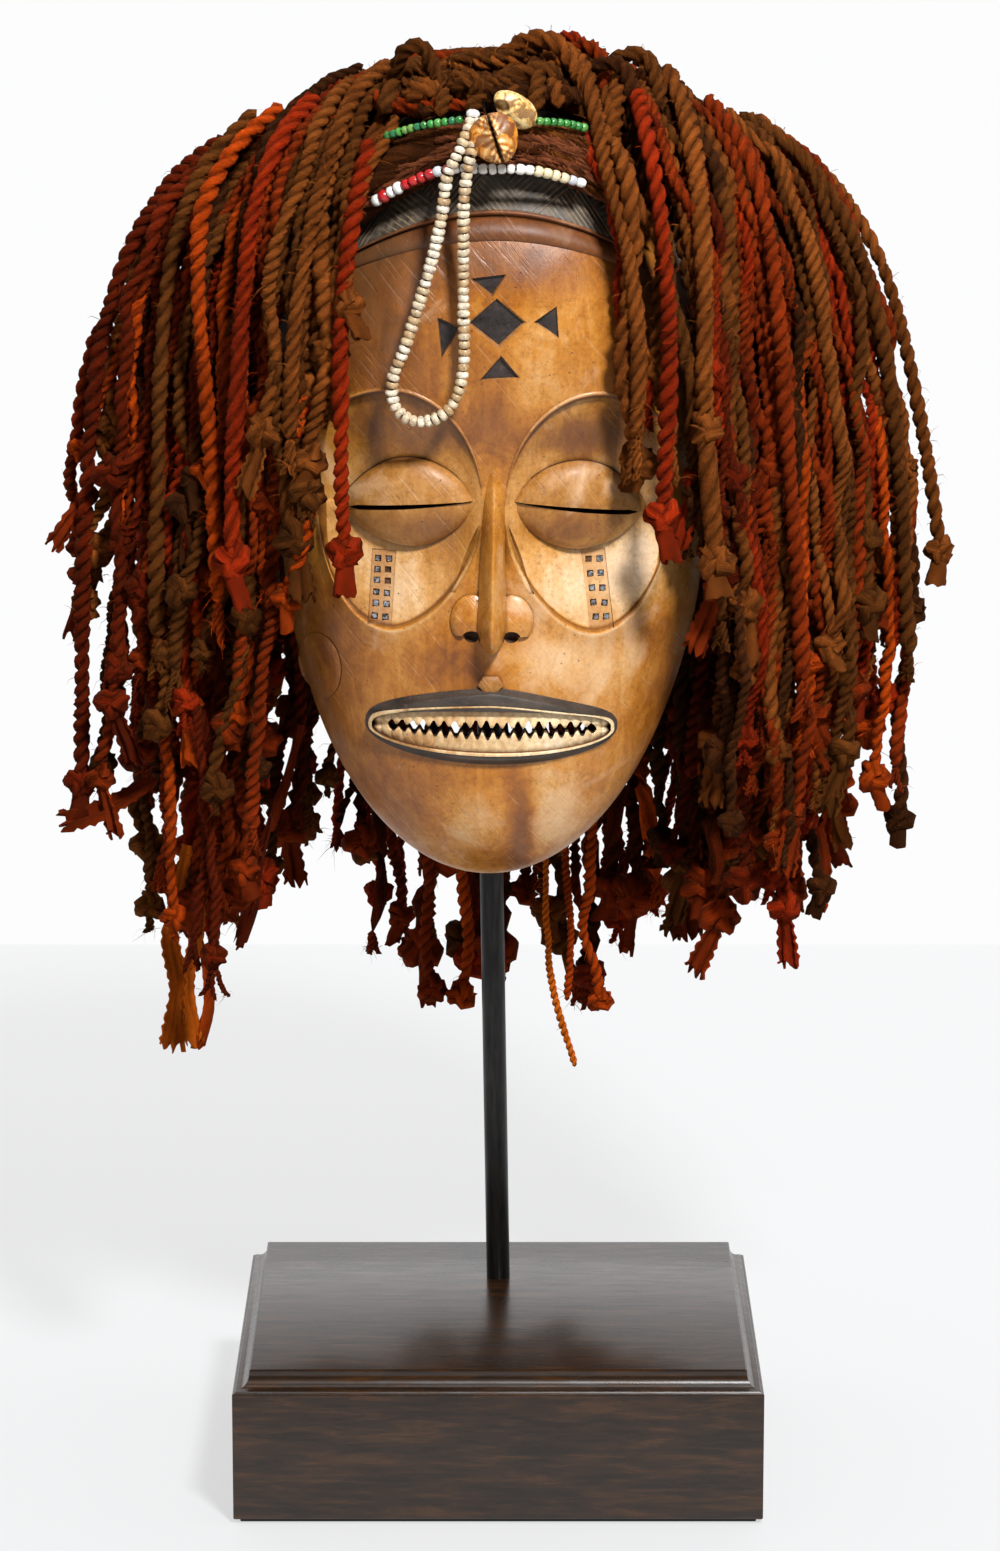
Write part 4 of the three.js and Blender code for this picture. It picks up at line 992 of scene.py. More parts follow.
def smoothRoute(points, spacing):  # an even run of points on one smooth curve through the given ones
    points = np.array(points, float)
    chords = np.maximum(np.linalg.norm(np.diff(points, axis=0), axis=1), 1e-6)
    knots = np.concatenate([[0], np.cumsum(chords ** 0.75)])
    slopes = np.empty_like(points)
    inner = np.diff(knots)[:, None]
    steps = np.diff(points, axis=0) / inner
    slopes[1:-1] = (steps[:-1] * inner[1:] + steps[1:] * inner[:-1]) / (inner[1:] + inner[:-1])
    slopes[0], slopes[-1] = steps[0], steps[-1]
    fine = np.linspace(0, knots[-1], 24 * len(points))
    spot = np.clip(np.searchsorted(knots, fine, side="right") - 1, 0, len(points) - 2)
    width = (knots[spot + 1] - knots[spot])[:, None]
    t = ((fine - knots[spot])[:, None]) / width
    curve = ((1 + 2 * t) * (1 - t) ** 2 * points[spot] + t * (1 - t) ** 2 * width * slopes[spot]
             + t * t * (3 - 2 * t) * points[spot + 1] - t * t * (1 - t) * width * slopes[spot + 1])
    travel = np.concatenate([[0], np.cumsum(np.linalg.norm(np.diff(curve, axis=0), axis=1))])
    count = max(3, int(round(travel[-1] / spacing)) + 1)
    even = np.linspace(0, travel[-1], count)
    return np.stack([np.interp(even, travel, curve[:, axis]) for axis in range(3)], 1)


def routeFrames(route):  # two directions across the route that don't twist along it
    along = unit(np.gradient(route, axis=0))
    side = np.cross(along[0], (0.3, 1, 0.2))
    sides = np.empty_like(route)
    for i, direction in enumerate(along):
        side = side - direction * np.dot(side, direction)
        side = side / max(np.linalg.norm(side), 1e-9)
        sides[i] = side
    return along, sides, np.cross(along, sides)


def newHair():
    bm = bmesh.new()
    bm.verts.layers.float_color.new("dye")
    bm.verts.layers.float_vector.new("strand")
    return bm


def joined(meshes):  # many small meshes as one
    bm = newHair()
    for mesh in meshes:
        bm.from_mesh(mesh)
        bpy.data.meshes.remove(mesh)
    meshes.clear()
    return meshFrom(bm)


def slowNoise(count, step, size, seed):  # a random wave along a cord, smooth over `size` metres
    return np.array([noise.noise(Vector((i * step / size, seed, 0.5))) for i in range(count)])


def waves(count, step, first, second):  # 1, with two such waves on it, each a height, a size and a seed
    total = 1
    for height, size, seed in (first, second):
        total = total + height * slowNoise(count, step, size, seed)
    return total


def addRope(hair, route, radius, dye, seed, plies=3, wobble=0.0012, rootTaper=0.0, tipTaper=0.5, rings=None,
            tipDye=None, smoothFrom=2.0, groove=None, bump=None, fine=1, deep=1.0):
    rings = rings or rope["ringsPerBump"]
    sides = rope["sides"][plies][fine]
    spacing = (bump or rope["bump"]) * radius / rings
    route = smoothRoute(route, spacing)
    count = len(route)
    along, sideways, across = routeFrames(route)
    if wobble:
        calm = np.minimum(1, np.arange(count) / 12)[:, None]
        sway = np.stack([slowNoise(count, spacing, 0.042, seed + k) for k in (0.1, 7.3)], 1) * calm
        sway += 0.4 * np.stack([slowNoise(count, spacing, 0.014, seed + k) for k in (2.1, 9.3)], 1) * calm
        route = route + wobble * (sway[:, :1] * sideways + sway[:, 1:] * across)
    swell = waves(count, spacing, (0.20, 0.018, seed + 3.7), (0.14, 0.06, seed + 9.1))
    travel = np.linspace(0, 1, count)
    if rootTaper:
        swell *= mix(1 - rootTaper, 1, ease(0, 0.12, travel))
    order = np.arange(count)
    rounding = np.sqrt(np.clip(1 - (1 - np.minimum(1, (count - 1 - order) / 3)) ** 2, 0, 1))
    swell *= mix(1, rounding, tipTaper) * mix(1, 0.02, (order == count - 1) | (order == 0))
    twist = 2 * np.pi / plies / rings * (order + 3.4 * slowNoise(count, spacing, 0.03, seed + 5.5))
    bm = newHair()
    bmesh.ops.create_grid(bm, x_segments=sides, y_segments=count - 1, size=1)
    roundShare, up = gridPlaces(bm)
    angle = roundShare * 2 * np.pi
    ring = np.clip(np.round(up * (count - 1)).astype(int), 0, count - 1)
    lobe = np.abs(np.sin(plies * angle / 2))  # 0 in a groove, 1 on the crest of a ply
    low = groove or rope["groove"][plies]
    low = mix(low, 0.97, ease(smoothFrom, smoothFrom + 0.08, travel))[ring]
    section = low + (1 - low) * lobe ** 0.75
    reach = radius * swell[ring] * section
    turned = angle + twist[ring]
    places = (route[ring] + (reach * np.cos(turned))[:, None] * sideways[ring]
              + (reach * np.sin(turned))[:, None] * across[ring])
    # deep darkens the whole cord: painted shade for the cords that hang further in
    base = np.array(tint(*dye)[:3]) * deep
    if tipDye:
        change = ease(0.45, 0.62, travel + 0.2 * slowNoise(count, spacing, 0.03, seed + 31.0))[:, None]
        base = mix(base, np.array(tint(*tipDye)[:3]), change)[ring]
    shade = waves(count, spacing, (0.35, 0.05, seed + 13.9), (0.25, 0.12, seed + 21.3))
    # the dye is darkened in the grooves between the plies: painted shade. The waves above are a random change
    # of tone along the cord
    depth = (0.36 + 0.68 * lobe ** 0.8) * shade[ring]
    colours = np.concatenate([base * depth[:, None], np.ones((len(depth), 1))], 1)
    strands = np.stack([radius * np.cos(angle) + seed * 0.37, radius * np.sin(angle), ring * spacing + seed],
                       axis=1)
    mesh = meshFrom(bm)
    mesh.vertices.foreach_set("co", places.ravel())
    mesh.attributes["dye"].data.foreach_set("color", colours.ravel())
    mesh.attributes["strand"].data.foreach_set("vector", strands.ravel())
    hair.append(merged(mesh, radius * 0.03))
    return route


def merged(mesh, distance):  # close the seam and the two ends
    bm = bmesh.new()
    bm.from_mesh(mesh)
    bmesh.ops.remove_doubles(bm, verts=bm.verts, dist=distance)
    bm.to_mesh(mesh)
    bm.free()
    return mesh


def addFibres(hair, route, radius, dye, count, length=0.006):  # short loose hairs that stand off a cord
    bm = newHair()
    base = np.array(tint(*dye)[:3])
    dyeLayer, strandLayer = bm.verts.layers.float_color["dye"], bm.verts.layers.float_vector["strand"]
    along, sideways, across = routeFrames(route)
    for _ in range(count):
        i = luck.randrange(2, len(route) - 1) if len(route) > 4 else 1
        angle = luck.uniform(0, 2 * math.pi)
        out = math.cos(angle) * sideways[i] + math.sin(angle) * across[i]
        start = route[i] + out * radius * 0.85
        lean = along[i] * luck.uniform(-1, 1) + np.cross(along[i], out) * luck.uniform(-1, 1)
        reach = length * luck.uniform(0.4, 1.2)
        middle = start + (out * 0.35 + lean * 0.4) * reach
        tip = middle + (out * luck.uniform(-0.2, 0.5) + lean * 0.6) * reach + np.array((0, 0, -0.3 * reach))
        width = np.cross(out, lean + 1e-6)
        width = width / max(np.linalg.norm(width), 1e-9) * 0.00011
        corners = [start - width, start + width, middle + width * 0.9, tip, middle - width * 0.9]
        verts = []
        for place in corners:
            vert = bm.verts.new(place)
            vert[dyeLayer] = (*(base * luck.uniform(0.9, 1.7)), 1)
            vert[strandLayer] = tuple(place)
            verts.append(vert)
        bm.faces.new((verts[0], verts[1], verts[2], verts[4]))
        bm.faces.new((verts[4], verts[2], verts[3]))
    hair.append(meshFrom(bm))


def knotRoute(centre, size, turn):  # the run of an overhand knot pulled tight
    t = np.linspace(0, 2 * np.pi, 26)[:-1]
    shape = np.stack([np.sin(t) + 2 * np.sin(2 * t), np.cos(t) - 2 * np.cos(2 * t), -1.6 * np.sin(3 * t)],
                     axis=1) / 3
    c, s = math.cos(turn), math.sin(turn)
    shape = shape @ np.array([[c, s, 0], [-s, c, 0], [0, 0, 1]]).T
    return np.array(centre) + shape[:, [0, 2, 1]] * size


def addKnot(hair, centre, radius, dye, seed, size=1.2):  # a lump of an overhand knot
    route = knotRoute(centre, radius * size, seed)
    return addRope(hair, route, radius * 1.08, dye, seed, wobble=0, tipTaper=0, groove=0.9, rings=2.4)


def addTail(hair, start, radius, dye, seed, length=0.016, spread=0.25):  # the plies part and fray
    start = np.array(start, float)
    for i in range(3):
        angle = seed + i * 2.1
        lean = np.array((math.cos(angle) * spread, math.sin(angle) * spread, -1.0))
        reach = length * luck.uniform(0.7, 1.15)
        curl = np.array((luck.uniform(-2, 2), luck.uniform(-2, 2), 0)) * mm
        points = [start + np.array((0, 0, 0.003)), start + lean * reach * 0.35,
                  start + lean * reach * 0.7 + np.array((0, 0, -0.001)), start + lean * reach + curl]
        route = addRope(hair, points, radius * 0.58, dye, seed + i, wobble=0.0004, tipTaper=1, rings=1.6,
                        fine=0)
        addFibres(hair, route[-4:], radius * 0.4, dye, 5, 0.006)


def addCloth(hair, width, height, place, dye, foldShading, thickness=0.0009):  # a bit of torn cloth, bent by place
    bm = newHair()
    bmesh.ops.create_grid(bm, x_segments=width, y_segments=height, size=1)
    across, down = gridPlaces(bm)
    places, dark = place(across, down)
    mesh = meshFrom(bm)
    base = np.array(tint(*dye)[:3])
    # the colour rises and falls with the second value that place gives, the creases of a strip or three bands
    # round a flare: painted shade and highlight of the folds
    colours = np.concatenate([base * (1 + foldShading * dark)[:, None], np.ones((len(dark), 1))], 1)
    mesh.vertices.foreach_set("co", places.ravel())
    mesh.attributes["dye"].data.foreach_set("color", colours.ravel())
    strands = np.stack([across * 0.014, down * 0.03, dark], 1)
    mesh.attributes["strand"].data.foreach_set("vector", strands.ravel())
    bm = bmesh.new()
    bm.from_mesh(mesh)
    bpy.data.meshes.remove(mesh)
    bmesh.ops.remove_doubles(bm, verts=bm.verts, dist=2e-5)
    bmesh.ops.solidify(bm, geom=bm.faces[:], thickness=thickness)
    hair.append(meshFrom(bm))


def addStrip(hair, route, widths, dye, seed, pleat=0.2):  # a torn strip, creased along its length
    route = smoothRoute(route, 0.0016)
    count = len(route)
    along, sideways, across = routeFrames(route)
    travel = np.linspace(0, 1, count)
    width = np.interp(travel, np.linspace(0, 1, len(widths)), widths)
    turned = seed + 0.7 * slowNoise(count, 0.0016, 0.02, seed + 2.2)
    flatWay = np.cos(turned)[:, None] * sideways + np.sin(turned)[:, None] * across
    lift = np.cross(along, flatWay)

    def place(side, down):
        ring = np.clip(np.round(down * (count - 1)).astype(int), 0, count - 1)
        side = 2 * side - 1
        crease = np.sin(side * 6 + seed * 5 + 2 * travel[ring])
        ragged = 1 + 0.16 * np.sin(ring * 2.3 + side * 2) * np.abs(side) ** 3
        torn = 0.0022 * np.sin(side * 9 + seed) * (ring == count - 1)
        places = route[ring] + (side * width[ring] / 2 * ragged)[:, None] * flatWay[ring]
        rise = crease * pleat * width[ring] * travel[ring] ** 0.6
        places += rise[:, None] * lift[ring] + torn[:, None] * along[ring]
        # the crease also lightens and darkens the strip's colour: painted highlight on the crests, painted
        # shade in the troughs
        return places, crease
    addCloth(hair, 10, count - 1, place, dye, 0.25)


def addFlare(hair, start, lean, radius, dye, seed, length, widen):  # cloth that has opened like a trumpet
    start, lean = np.array(start, float), np.array(lean, float)
    c, s = math.cos(seed * 1.7), math.sin(seed * 1.7)

    def place(side, down):
        angle = side * 2 * np.pi
        folds = 1 + 0.20 * down * np.sin(2 * angle + seed) + 0.08 * down * np.sin(5 * angle + 2.3 * seed)
        reach = radius * mix(0.9, widen, down ** 1.3) * folds
        x, y = reach * np.cos(angle), reach * np.sin(angle) * mix(1, 0.5, down)
        fall = length * down * (1 + 0.08 * np.sin(2 * angle + seed) + 0.04 * np.sin(7 * angle + 2 * seed))
        flat = np.stack([x * c - y * s, x * s + y * c, -fall], 1)
        crumple = 0.0008 * np.sin(down * 11 + 2 * np.sin(angle * 2 + seed))
        return start + flat + (fall + crumple)[:, None] * lean, np.sin(3 * angle + seed) * down
    addCloth(hair, 14, 6, place, dye, 0.3)


def hairMaterial(name, across=2600, along=520):
    material, place = newMaterial(name, Roughness=0.95, Sheen_Weight=0.03, Sheen_Roughness=0.5,
                                  Sheen_Tint=(0.9, 0.4, 0.15, 1), Specular_IOR_Level=0.03)
    strand = painted(place, "strand", "Vector")
    fibres = noiseOn(strand, (across, across, along), 3, 0.65)
    lint = noiseOn(strand, (900, 900, 700), 4, 0.7)
    worn = noiseOn(place, 70, 3, 0.6)
    body = ramp(fibres, (0.28, (0.42, 0.38, 0.34)), (0.52, 1.0), (0.78, (1.6, 1.5, 1.2)))
    colour = blend(1.0, painted(place, "dye"), body, "MULTIPLY")
    colour = blend(ramp(lint, (0.56, 0), (0.74, 0.22)), colour, tint(170, 84, 26))
    shade = ramp(worn, (0.30, (0.66, 0.64, 0.64)), (0.55, 1), (0.75, (1.25, 1.18, 1.1)))
    colour = blend(1.0, colour, shade, "MULTIPLY")
    return finishMaterial(material, colour, None, weighed((fibres, 0.7), (lint, 0.6)), 0.0012, 1.0)


cordFibre = hairMaterial("cord fibre")
combedFibre = hairMaterial("combed fibre", 1100, 60)

# The thirteen cords that hang free of the others, as they are in the frame, in millimetres
freeCords = [
    {"name": "lock_left_inner", "dye": "brown", "plies": 3, "diameter": 6.6, "end": "bare", "route": [
        (-40, -22, 543), (-50, -39, 536), (-57, -53, 524), (-63, -62, 506), (-68, -67, 485),
        (-72, -69, 465), (-75, -68, 436), (-76, -67, 410)]},
    {"name": "lock_left_brow", "dye": "red", "diameter": 6.8, "end": "knot", "route": [
        (-46, -55, 519), (-51, -65, 498), (-55, -71, 473), (-57, -73, 444), (-57, -73, 415),
        (-57, -72, 389), (-56, -71, 371)]},
    {"name": "lock_left_orange", "dye": "orange", "diameter": 6.8, "end": "bare", "route": [
        (-80, -8, 527), (-97, -26, 512), (-108, -36, 492), (-110, -42, 462), (-108, -44, 433),
        (-106, -44, 401), (-105, -43, 369), (-104, -42, 345)]},
    {"name": "lock_left_thick", "dye": "red", "plies": 3, "diameter": 7.2, "end": "knot", "route": [
        (-67, -15, 531), (-80, -35, 516), (-89, -49, 492), (-93, -55, 460), (-95, -57, 430),
        (-97, -57, 400), (-98, -56, 365)]},
    {"name": "lock_left_side", "dye": "umber", "diameter": 6.8, "end": "bare", "route": [
        (-90, 4, 524), (-108, -6, 505), (-119, -18, 480), (-124, -22, 450), (-126, -24, 420),
        (-127, -24, 385), (-128, -23, 355), (-128, -22, 328)]},
    {"name": "lock_left_far", "dye": "burgundy", "diameter": 6.8, "end": "knot", "route": [
        (-102, 14, 513), (-122, 10, 497), (-138, 4, 472), (-148, 0, 442), (-153, -2, 410), (-156, -2, 375),
        (-158, 0, 338), (-159, 3, 300), (-160, 6, 268)]},
    {"name": "lock_right_brow", "dye": "brown", "plies": 3, "diameter": 6.6, "end": "bare", "route": [
        (24, -16, 548), (31, -36, 543), (35, -54, 528), (39, -63, 510), (45, -69, 487), (50, -73, 458),
        (51, -73, 433), (50, -72, 411)]},
    {"name": "lock_right_eye", "dye": "red", "diameter": 6.8, "end": "knot", "route": [
        (50, -40, 535), (54, -56, 519), (58, -66, 497), (61, -72, 467), (62, -74, 437), (61, -74, 410),
        (60, -73, 385)]},
    {"name": "lock_right_jersey", "dye": "brown", "plies": 3, "diameter": 7.4, "end": "knot",
     "smoothFrom": 0.75, "route": [
        (62, -14, 541), (69, -40, 524), (73, -54, 498), (75, -62, 462), (75, -64, 427), (77, -63, 396),
        (80, -61, 366)]},
    {"name": "lock_right_side", "dye": "rust", "diameter": 6.8, "end": "bare", "route": [
        (77, -6, 530), (91, -24, 511), (99, -38, 484), (103, -44, 450), (106, -45, 415), (109, -43, 380),
        (112, -40, 345), (114, -38, 315)]},
    {"name": "lock_right_far", "dye": "umber", "diameter": 6.6, "end": "bare", "route": [
        (92, 8, 522), (115, 2, 505), (131, -4, 480), (142, -8, 448), (148, -9, 414), (152, -9, 379),
        (154, -8, 345), (156, -6, 318)]},
    {"name": "lock_right_outer", "dye": "brown", "diameter": 6.0, "end": "knot", "route": [
        (96, 26, 520), (125, 26, 496), (144, 24, 467), (154, 22, 436), (160, 21, 409), (165, 20, 382),
        (169, 20, 356)]},
    {"name": "crown_loop", "dye": "brown", "diameter": 6.0, "end": "object", "route": [
        (-24, -31, 541), (-12, -33, 544), (0, -33, 545), (9, -31, 546), (16, -28, 546)]},
]


def makeFreeCord(cord, seed):
    route = np.array(cord["route"]) * mm
    radius = cord["diameter"] * mm / 2
    dye = dyes[cord["dye"]]
    hair = []
    smoothFrom = cord.get("smoothFrom", 2.0)  # past 1 there is no smooth part
    line = addRope(hair, route, radius, dye, seed, cord.get("plies", 2), wobble=0, tipTaper=0.6, fine=2,
                   smoothFrom=smoothFrom, bump=mix(1.65, 2.05, seed * 0.37 % 1))
    addFibres(looseFibres, line, radius, dye, int(len(line) * 0.5))
    name = "cord_" + cord["name"].replace("lock_", "")
    piece = finishPiece(name, joined(hair), [cordFibre], [cord["name"]], "cord_" + slotOf[cord["dye"]], 75)
    if cord["end"] != "object":
        end = []
        if smoothFrom < 1:  # the knot above the plain knitted tube
            addKnot(end, line[int(smoothFrom * len(line))], radius * 0.95, dye, seed + 2, 1.0)
        below = line[-1] + np.array((0, 0, -0.0015))
        if cord["end"] == "knot":
            addKnot(end, below, radius, dye, seed)
            below = below + np.array((0, 0, -radius * 1.2))
            lean = (luck.uniform(-0.4, 0.4), -0.2, 0)
            addFlare(end, below, lean, radius * 0.8, dye, seed, luck.uniform(0.008, 0.015), 1.4)
        else:
            addTail(end, below, radius, dye, seed, luck.uniform(0.010, 0.018))
        finishPiece(name + "_end", joined(end), [cordFibre], (), None, 75)
    guide = smoothRoute(route, 0.006)
    return piece


slotOf = {"red": "red", "rust": "red", "burgundy": "red", "brown": "brown", "umber": "brown",
          "orange": "orange"}
looseFibres = []
for seed, cord in enumerate(freeCords):
    makeFreeCord(cord, seed * 3.1 + 1)
finishPiece("loose_fibres", joined(looseFibres), [cordFibre], (), None, 75)
print("free cords hung")


# The net cap that the cords are tied to
cap = {"x": -2, "y": 40, "z": 400, "halfWidth": 90, "front": 146, "back": 84, "height": 128, "thickness": 3,
       "edge": [(0, 510), (40, 497), (90, 350), (180, 305)]}


def capPlaces(angle, share, shrink):  # on the cap, from its edge (0) to its top (1)
    edgeZ = alongProfile(cap["edge"], np.degrees(np.abs(angle)))
    height = cap["height"] - shrink
    low = (edgeZ - cap["z"]) / cap["height"]
    start = np.where(low > 0, np.arcsin(np.clip(low, -1, 1)), low)
    rise = mix(start, np.pi / 2, share)
    levelness = np.cos(np.maximum(0, rise))
    depth = np.where(np.cos(angle) > 0, cap["front"], cap["back"]) - shrink
    x = cap["x"] + (cap["halfWidth"] - shrink) * np.sin(angle) * levelness
    y = cap["y"] - depth * np.cos(angle) * levelness
    return np.stack([x, y, cap["z"] + height * np.where(rise > 0, np.sin(rise), rise)], 1)


def makeCap():
    bm = bmesh.new()
    bmesh.ops.create_grid(bm, x_segments=110, y_segments=44, size=1)
    across, up = gridPlaces(bm)
    angle = (2 * across - 1) * np.pi
    places = capPlaces(angle, up, 1.0)
    knots = 0.5 * np.cos(angle * 60) * np.cos(up * 90)
    places += unit(places - np.array([cap["x"], cap["y"], cap["z"]])) * knots[:, None]
    moveVerts(bm.verts, places * mm)
    bmesh.ops.remove_doubles(bm, verts=bm.verts, dist=2e-5)
    inside = [vert for vert in bm.verts if insideFace(vert.co / mm, 3.2)]
    bmesh.ops.delete(bm, geom=inside, context="VERTS")
    bmesh.ops.recalc_face_normals(bm, faces=bm.faces)
    if sum(face.normal.z for face in bm.faces) < 0:
        bmesh.ops.reverse_faces(bm, faces=bm.faces)
    bmesh.ops.solidify(bm, geom=bm.faces[:], thickness=cap["thickness"] * mm)
    return meshFrom(bm)


def insideFace(place, room):  # is a place in millimetres inside the mask or closer than this to it
    x, y, z = place.x - faceShape["place"][0], place.y, place.z - faceShape["place"][1]
    up = z - faceShape["widestHeight"]
    half = faceShape["halfWidth"] + room
    tall = (faceShape["upperHeight"] if up > 0 else faceShape["widestHeight"]) + room
    if (abs(x) / half) ** 2.2 + (abs(up) / tall) ** 2.2 > 1:
        return False
    low, high = faceShape["rimY"]
    rimY = mix(low, high, z / 281)
    skin = float(surfaceForward(x * 0.96, z * 0.98))
    return -(skin + room) < y < rimY + room


def netMaterial():
    material, place = newMaterial("knotted net", Roughness=0.95, Sheen_Weight=0.2)
    tuft = noiseOn(place, 420, 4, 0.7)
    knots = node("TexVoronoi", Vector=place, Scale=260).outputs["Distance"]
    colour = ramp(tuft, (0.3, tint(28, 18, 13)), (0.55, tint(62, 40, 27)), (0.8, tint(105, 70, 46)))
    colour = blend(1.0, colour, ramp(knots, (0.0, 1.2), (0.5, 0.45)), "MULTIPLY")
    return finishMaterial(material, colour, None, maths("SUBTRACT", tuft, knots), 0.0012, 0.9)


finishPiece("wig_net", makeCap(), [netMaterial()], ["wig_cap"], "net", 80)
print("net cap made")

# The tied cords: layers that lie over the cap and then hang
tied = {
    "crown": (-2, 22),
    # deep darkens each layer's dyes: painted shade, darkest on the inner layer
    "layers": [
        {"side": "inner", "count": 40, "from": 66, "to": 294, "root": 14, "rootZ": 527, "reach": 104,
         "shoulder": 408, "radii": (3.4, 3.9), "rings": 1.2, "fine": 0, "deep": 0.35},
        {"side": "middle", "count": 60, "from": 56, "to": 304, "root": 12, "rootZ": 533, "reach": 124,
         "shoulder": 418, "radii": (2.5, 3.3), "rings": 1.8, "fine": 1, "deep": 0.75},
        {"side": "outer", "count": 78, "from": 58, "to": 302, "root": 10, "rootZ": 539, "reach": 141,
         "shoulder": 412, "radii": (2.3, 3.2), "rings": 2.2, "fine": 1, "deep": 1.0},
    ],
    # where the lowest cords end: x and z
    "ends": [(-170, 262), (-160, 250), (-150, 232), (-135, 205), (-116, 198), (-100, 205), (-85, 232),
             (-70, 222), (-55, 196), (-40, 168), (-15, 164), (10, 178), (33, 142), (42, 160), (55, 192),
             (76, 192), (98, 218), (113, 216), (125, 212), (135, 240), (152, 278), (175, 330)],
    "leftDyes": ["burgundy"] * 6 + ["rust"] * 7 + ["umber"] * 4 + ["dark"] * 2 + ["brown"] * 3 + ["red"] * 3,
    "rightDyes": ["brown"] * 4 + ["umber"] * 5 + ["rust"] * 8 + ["burgundy"] * 4 + ["dark"] * 2 + ["red"] * 4,
}


def tiedRoute(layer, share, start):
    degrees = mix(layer["from"], layer["to"], share) + luck.uniform(-2.2, 2.2)
    swing = luck.uniform(-10, 10)
    sway = luck.uniform(-1, 1)
    route = []
    for step in np.linspace(start, 1, 5):
        angle = math.radians(degrees - swing * (1 - step))
        outX, outY = math.sin(angle), -math.cos(angle)
        front = min(1, max(0, 0.35 - outY))
        reach = layer["reach"] * (1 - 0.12 * front) + 3.5 * sway
        out = math.sin(step * math.pi / 2)
        radius = mix(layer["root"], reach, out)
        z = mix(layer["shoulder"], layer["rootZ"], math.cos(step * math.pi / 2))
        y = mix(tied["crown"][1], cap["y"], out) + radius * outY * (0.88 if outY > 0 else 1)
        drift = 5 * math.sin(step * 5 + share * 40) * math.sin(step * math.pi)
        route.append((cap["x"] + radius * outX - outY * drift, y + outX * drift, z))
    x, y, z = route[-1]
    lowest = float(np.interp(x, *np.array(tied["ends"]).T))
    lowest -= 0.2 * max(0, y - 60)
    if luck.random() < 0.6:
        end = lowest + 8 + abs(luck.gauss(0, 15))
    else:
        end = luck.uniform(lowest + 25, 350)
    end = min(max(end, 150), 350)
    lean, wild = 0.02 * x, luck.uniform(2.5, 8)
    for part in (0.25, 0.5, 0.75, 1.0):
        turn = part * 7 + sway * 9
        side = x - lean * part * 1.2 + wild * part * math.sin(turn)
        route.append((side, y + wild * part * math.cos(turn) * 0.7, mix(z, end, part)))
    return np.array(route) * mm


def endOf(hair, line, radius, dye, seed):  # a lump, a trumpet of cloth, a torn strip or frayed plies
    last = line[-1]
    below = last + np.array((0, 0, -0.001))
    lean = (luck.uniform(-0.5, 0.5), luck.uniform(-0.4, 0.3), 0)
    chance = luck.random()
    if chance > 0.22:
        addKnot(hair, below, radius * luck.uniform(1.0, 1.35), dye, seed)
        below = below + np.array((0, 0, -radius * 1.4))
    if chance < 0.36:
        addTail(hair, below, radius * 0.9, dye, seed, luck.uniform(0.006, 0.013), 0.4)
    elif chance < 0.54:
        below = below + np.array((0, 0, 0.002))
        addFlare(hair, below, lean, radius * 0.9, dye, seed, luck.uniform(0.005, 0.012),
                 luck.uniform(1.1, 1.5))
    elif chance < 0.66:
        spread = luck.uniform(-0.006, 0.006)
        points = [last + np.array((0, 0, 0.004)), last + np.array((spread * 0.4, 0, -0.008)),
                  last + np.array((spread, 0.001, -0.016)), last + np.array((spread * 1.6, 0, -0.024))]
        addStrip(hair, points, (0.005, 0.006, 0.008, 0.009), dye, luck.uniform(-0.8, 0.8))
    elif chance < 0.82:
        addTail(hair, below, radius * 0.9, dye, seed, luck.uniform(0.004, 0.010), 0.18)


def hangCord(hair, route, radius, dye, seed, tipDye=None, rootTaper=0.3, fibres=0.3, knots=0.35, **finish):
    plies = 2 if luck.random() < 0.72 else 3
    line = addRope(hair, route, radius, dyes[dye], seed, plies=plies, rootTaper=rootTaper, wobble=0.0062,
                   bump=luck.uniform(1.6, 2.2), tipDye=dyes[tipDye] if tipDye else None,
                   groove=luck.uniform(0.58, 0.78) if plies == 3 else luck.uniform(0.48, 0.64), **finish)
    endOf(hair, line, radius, dyes[tipDye or dye], seed)
    if luck.random() < knots:
        place = line[int(len(line) * luck.uniform(0.66, 0.94))]
        addKnot(hair, place, radius * luck.uniform(0.95, 1.2), dyes[tipDye or dye], seed + 1)
    addFibres(hair, line, radius, dyes[dye], int(len(line) * fibres))


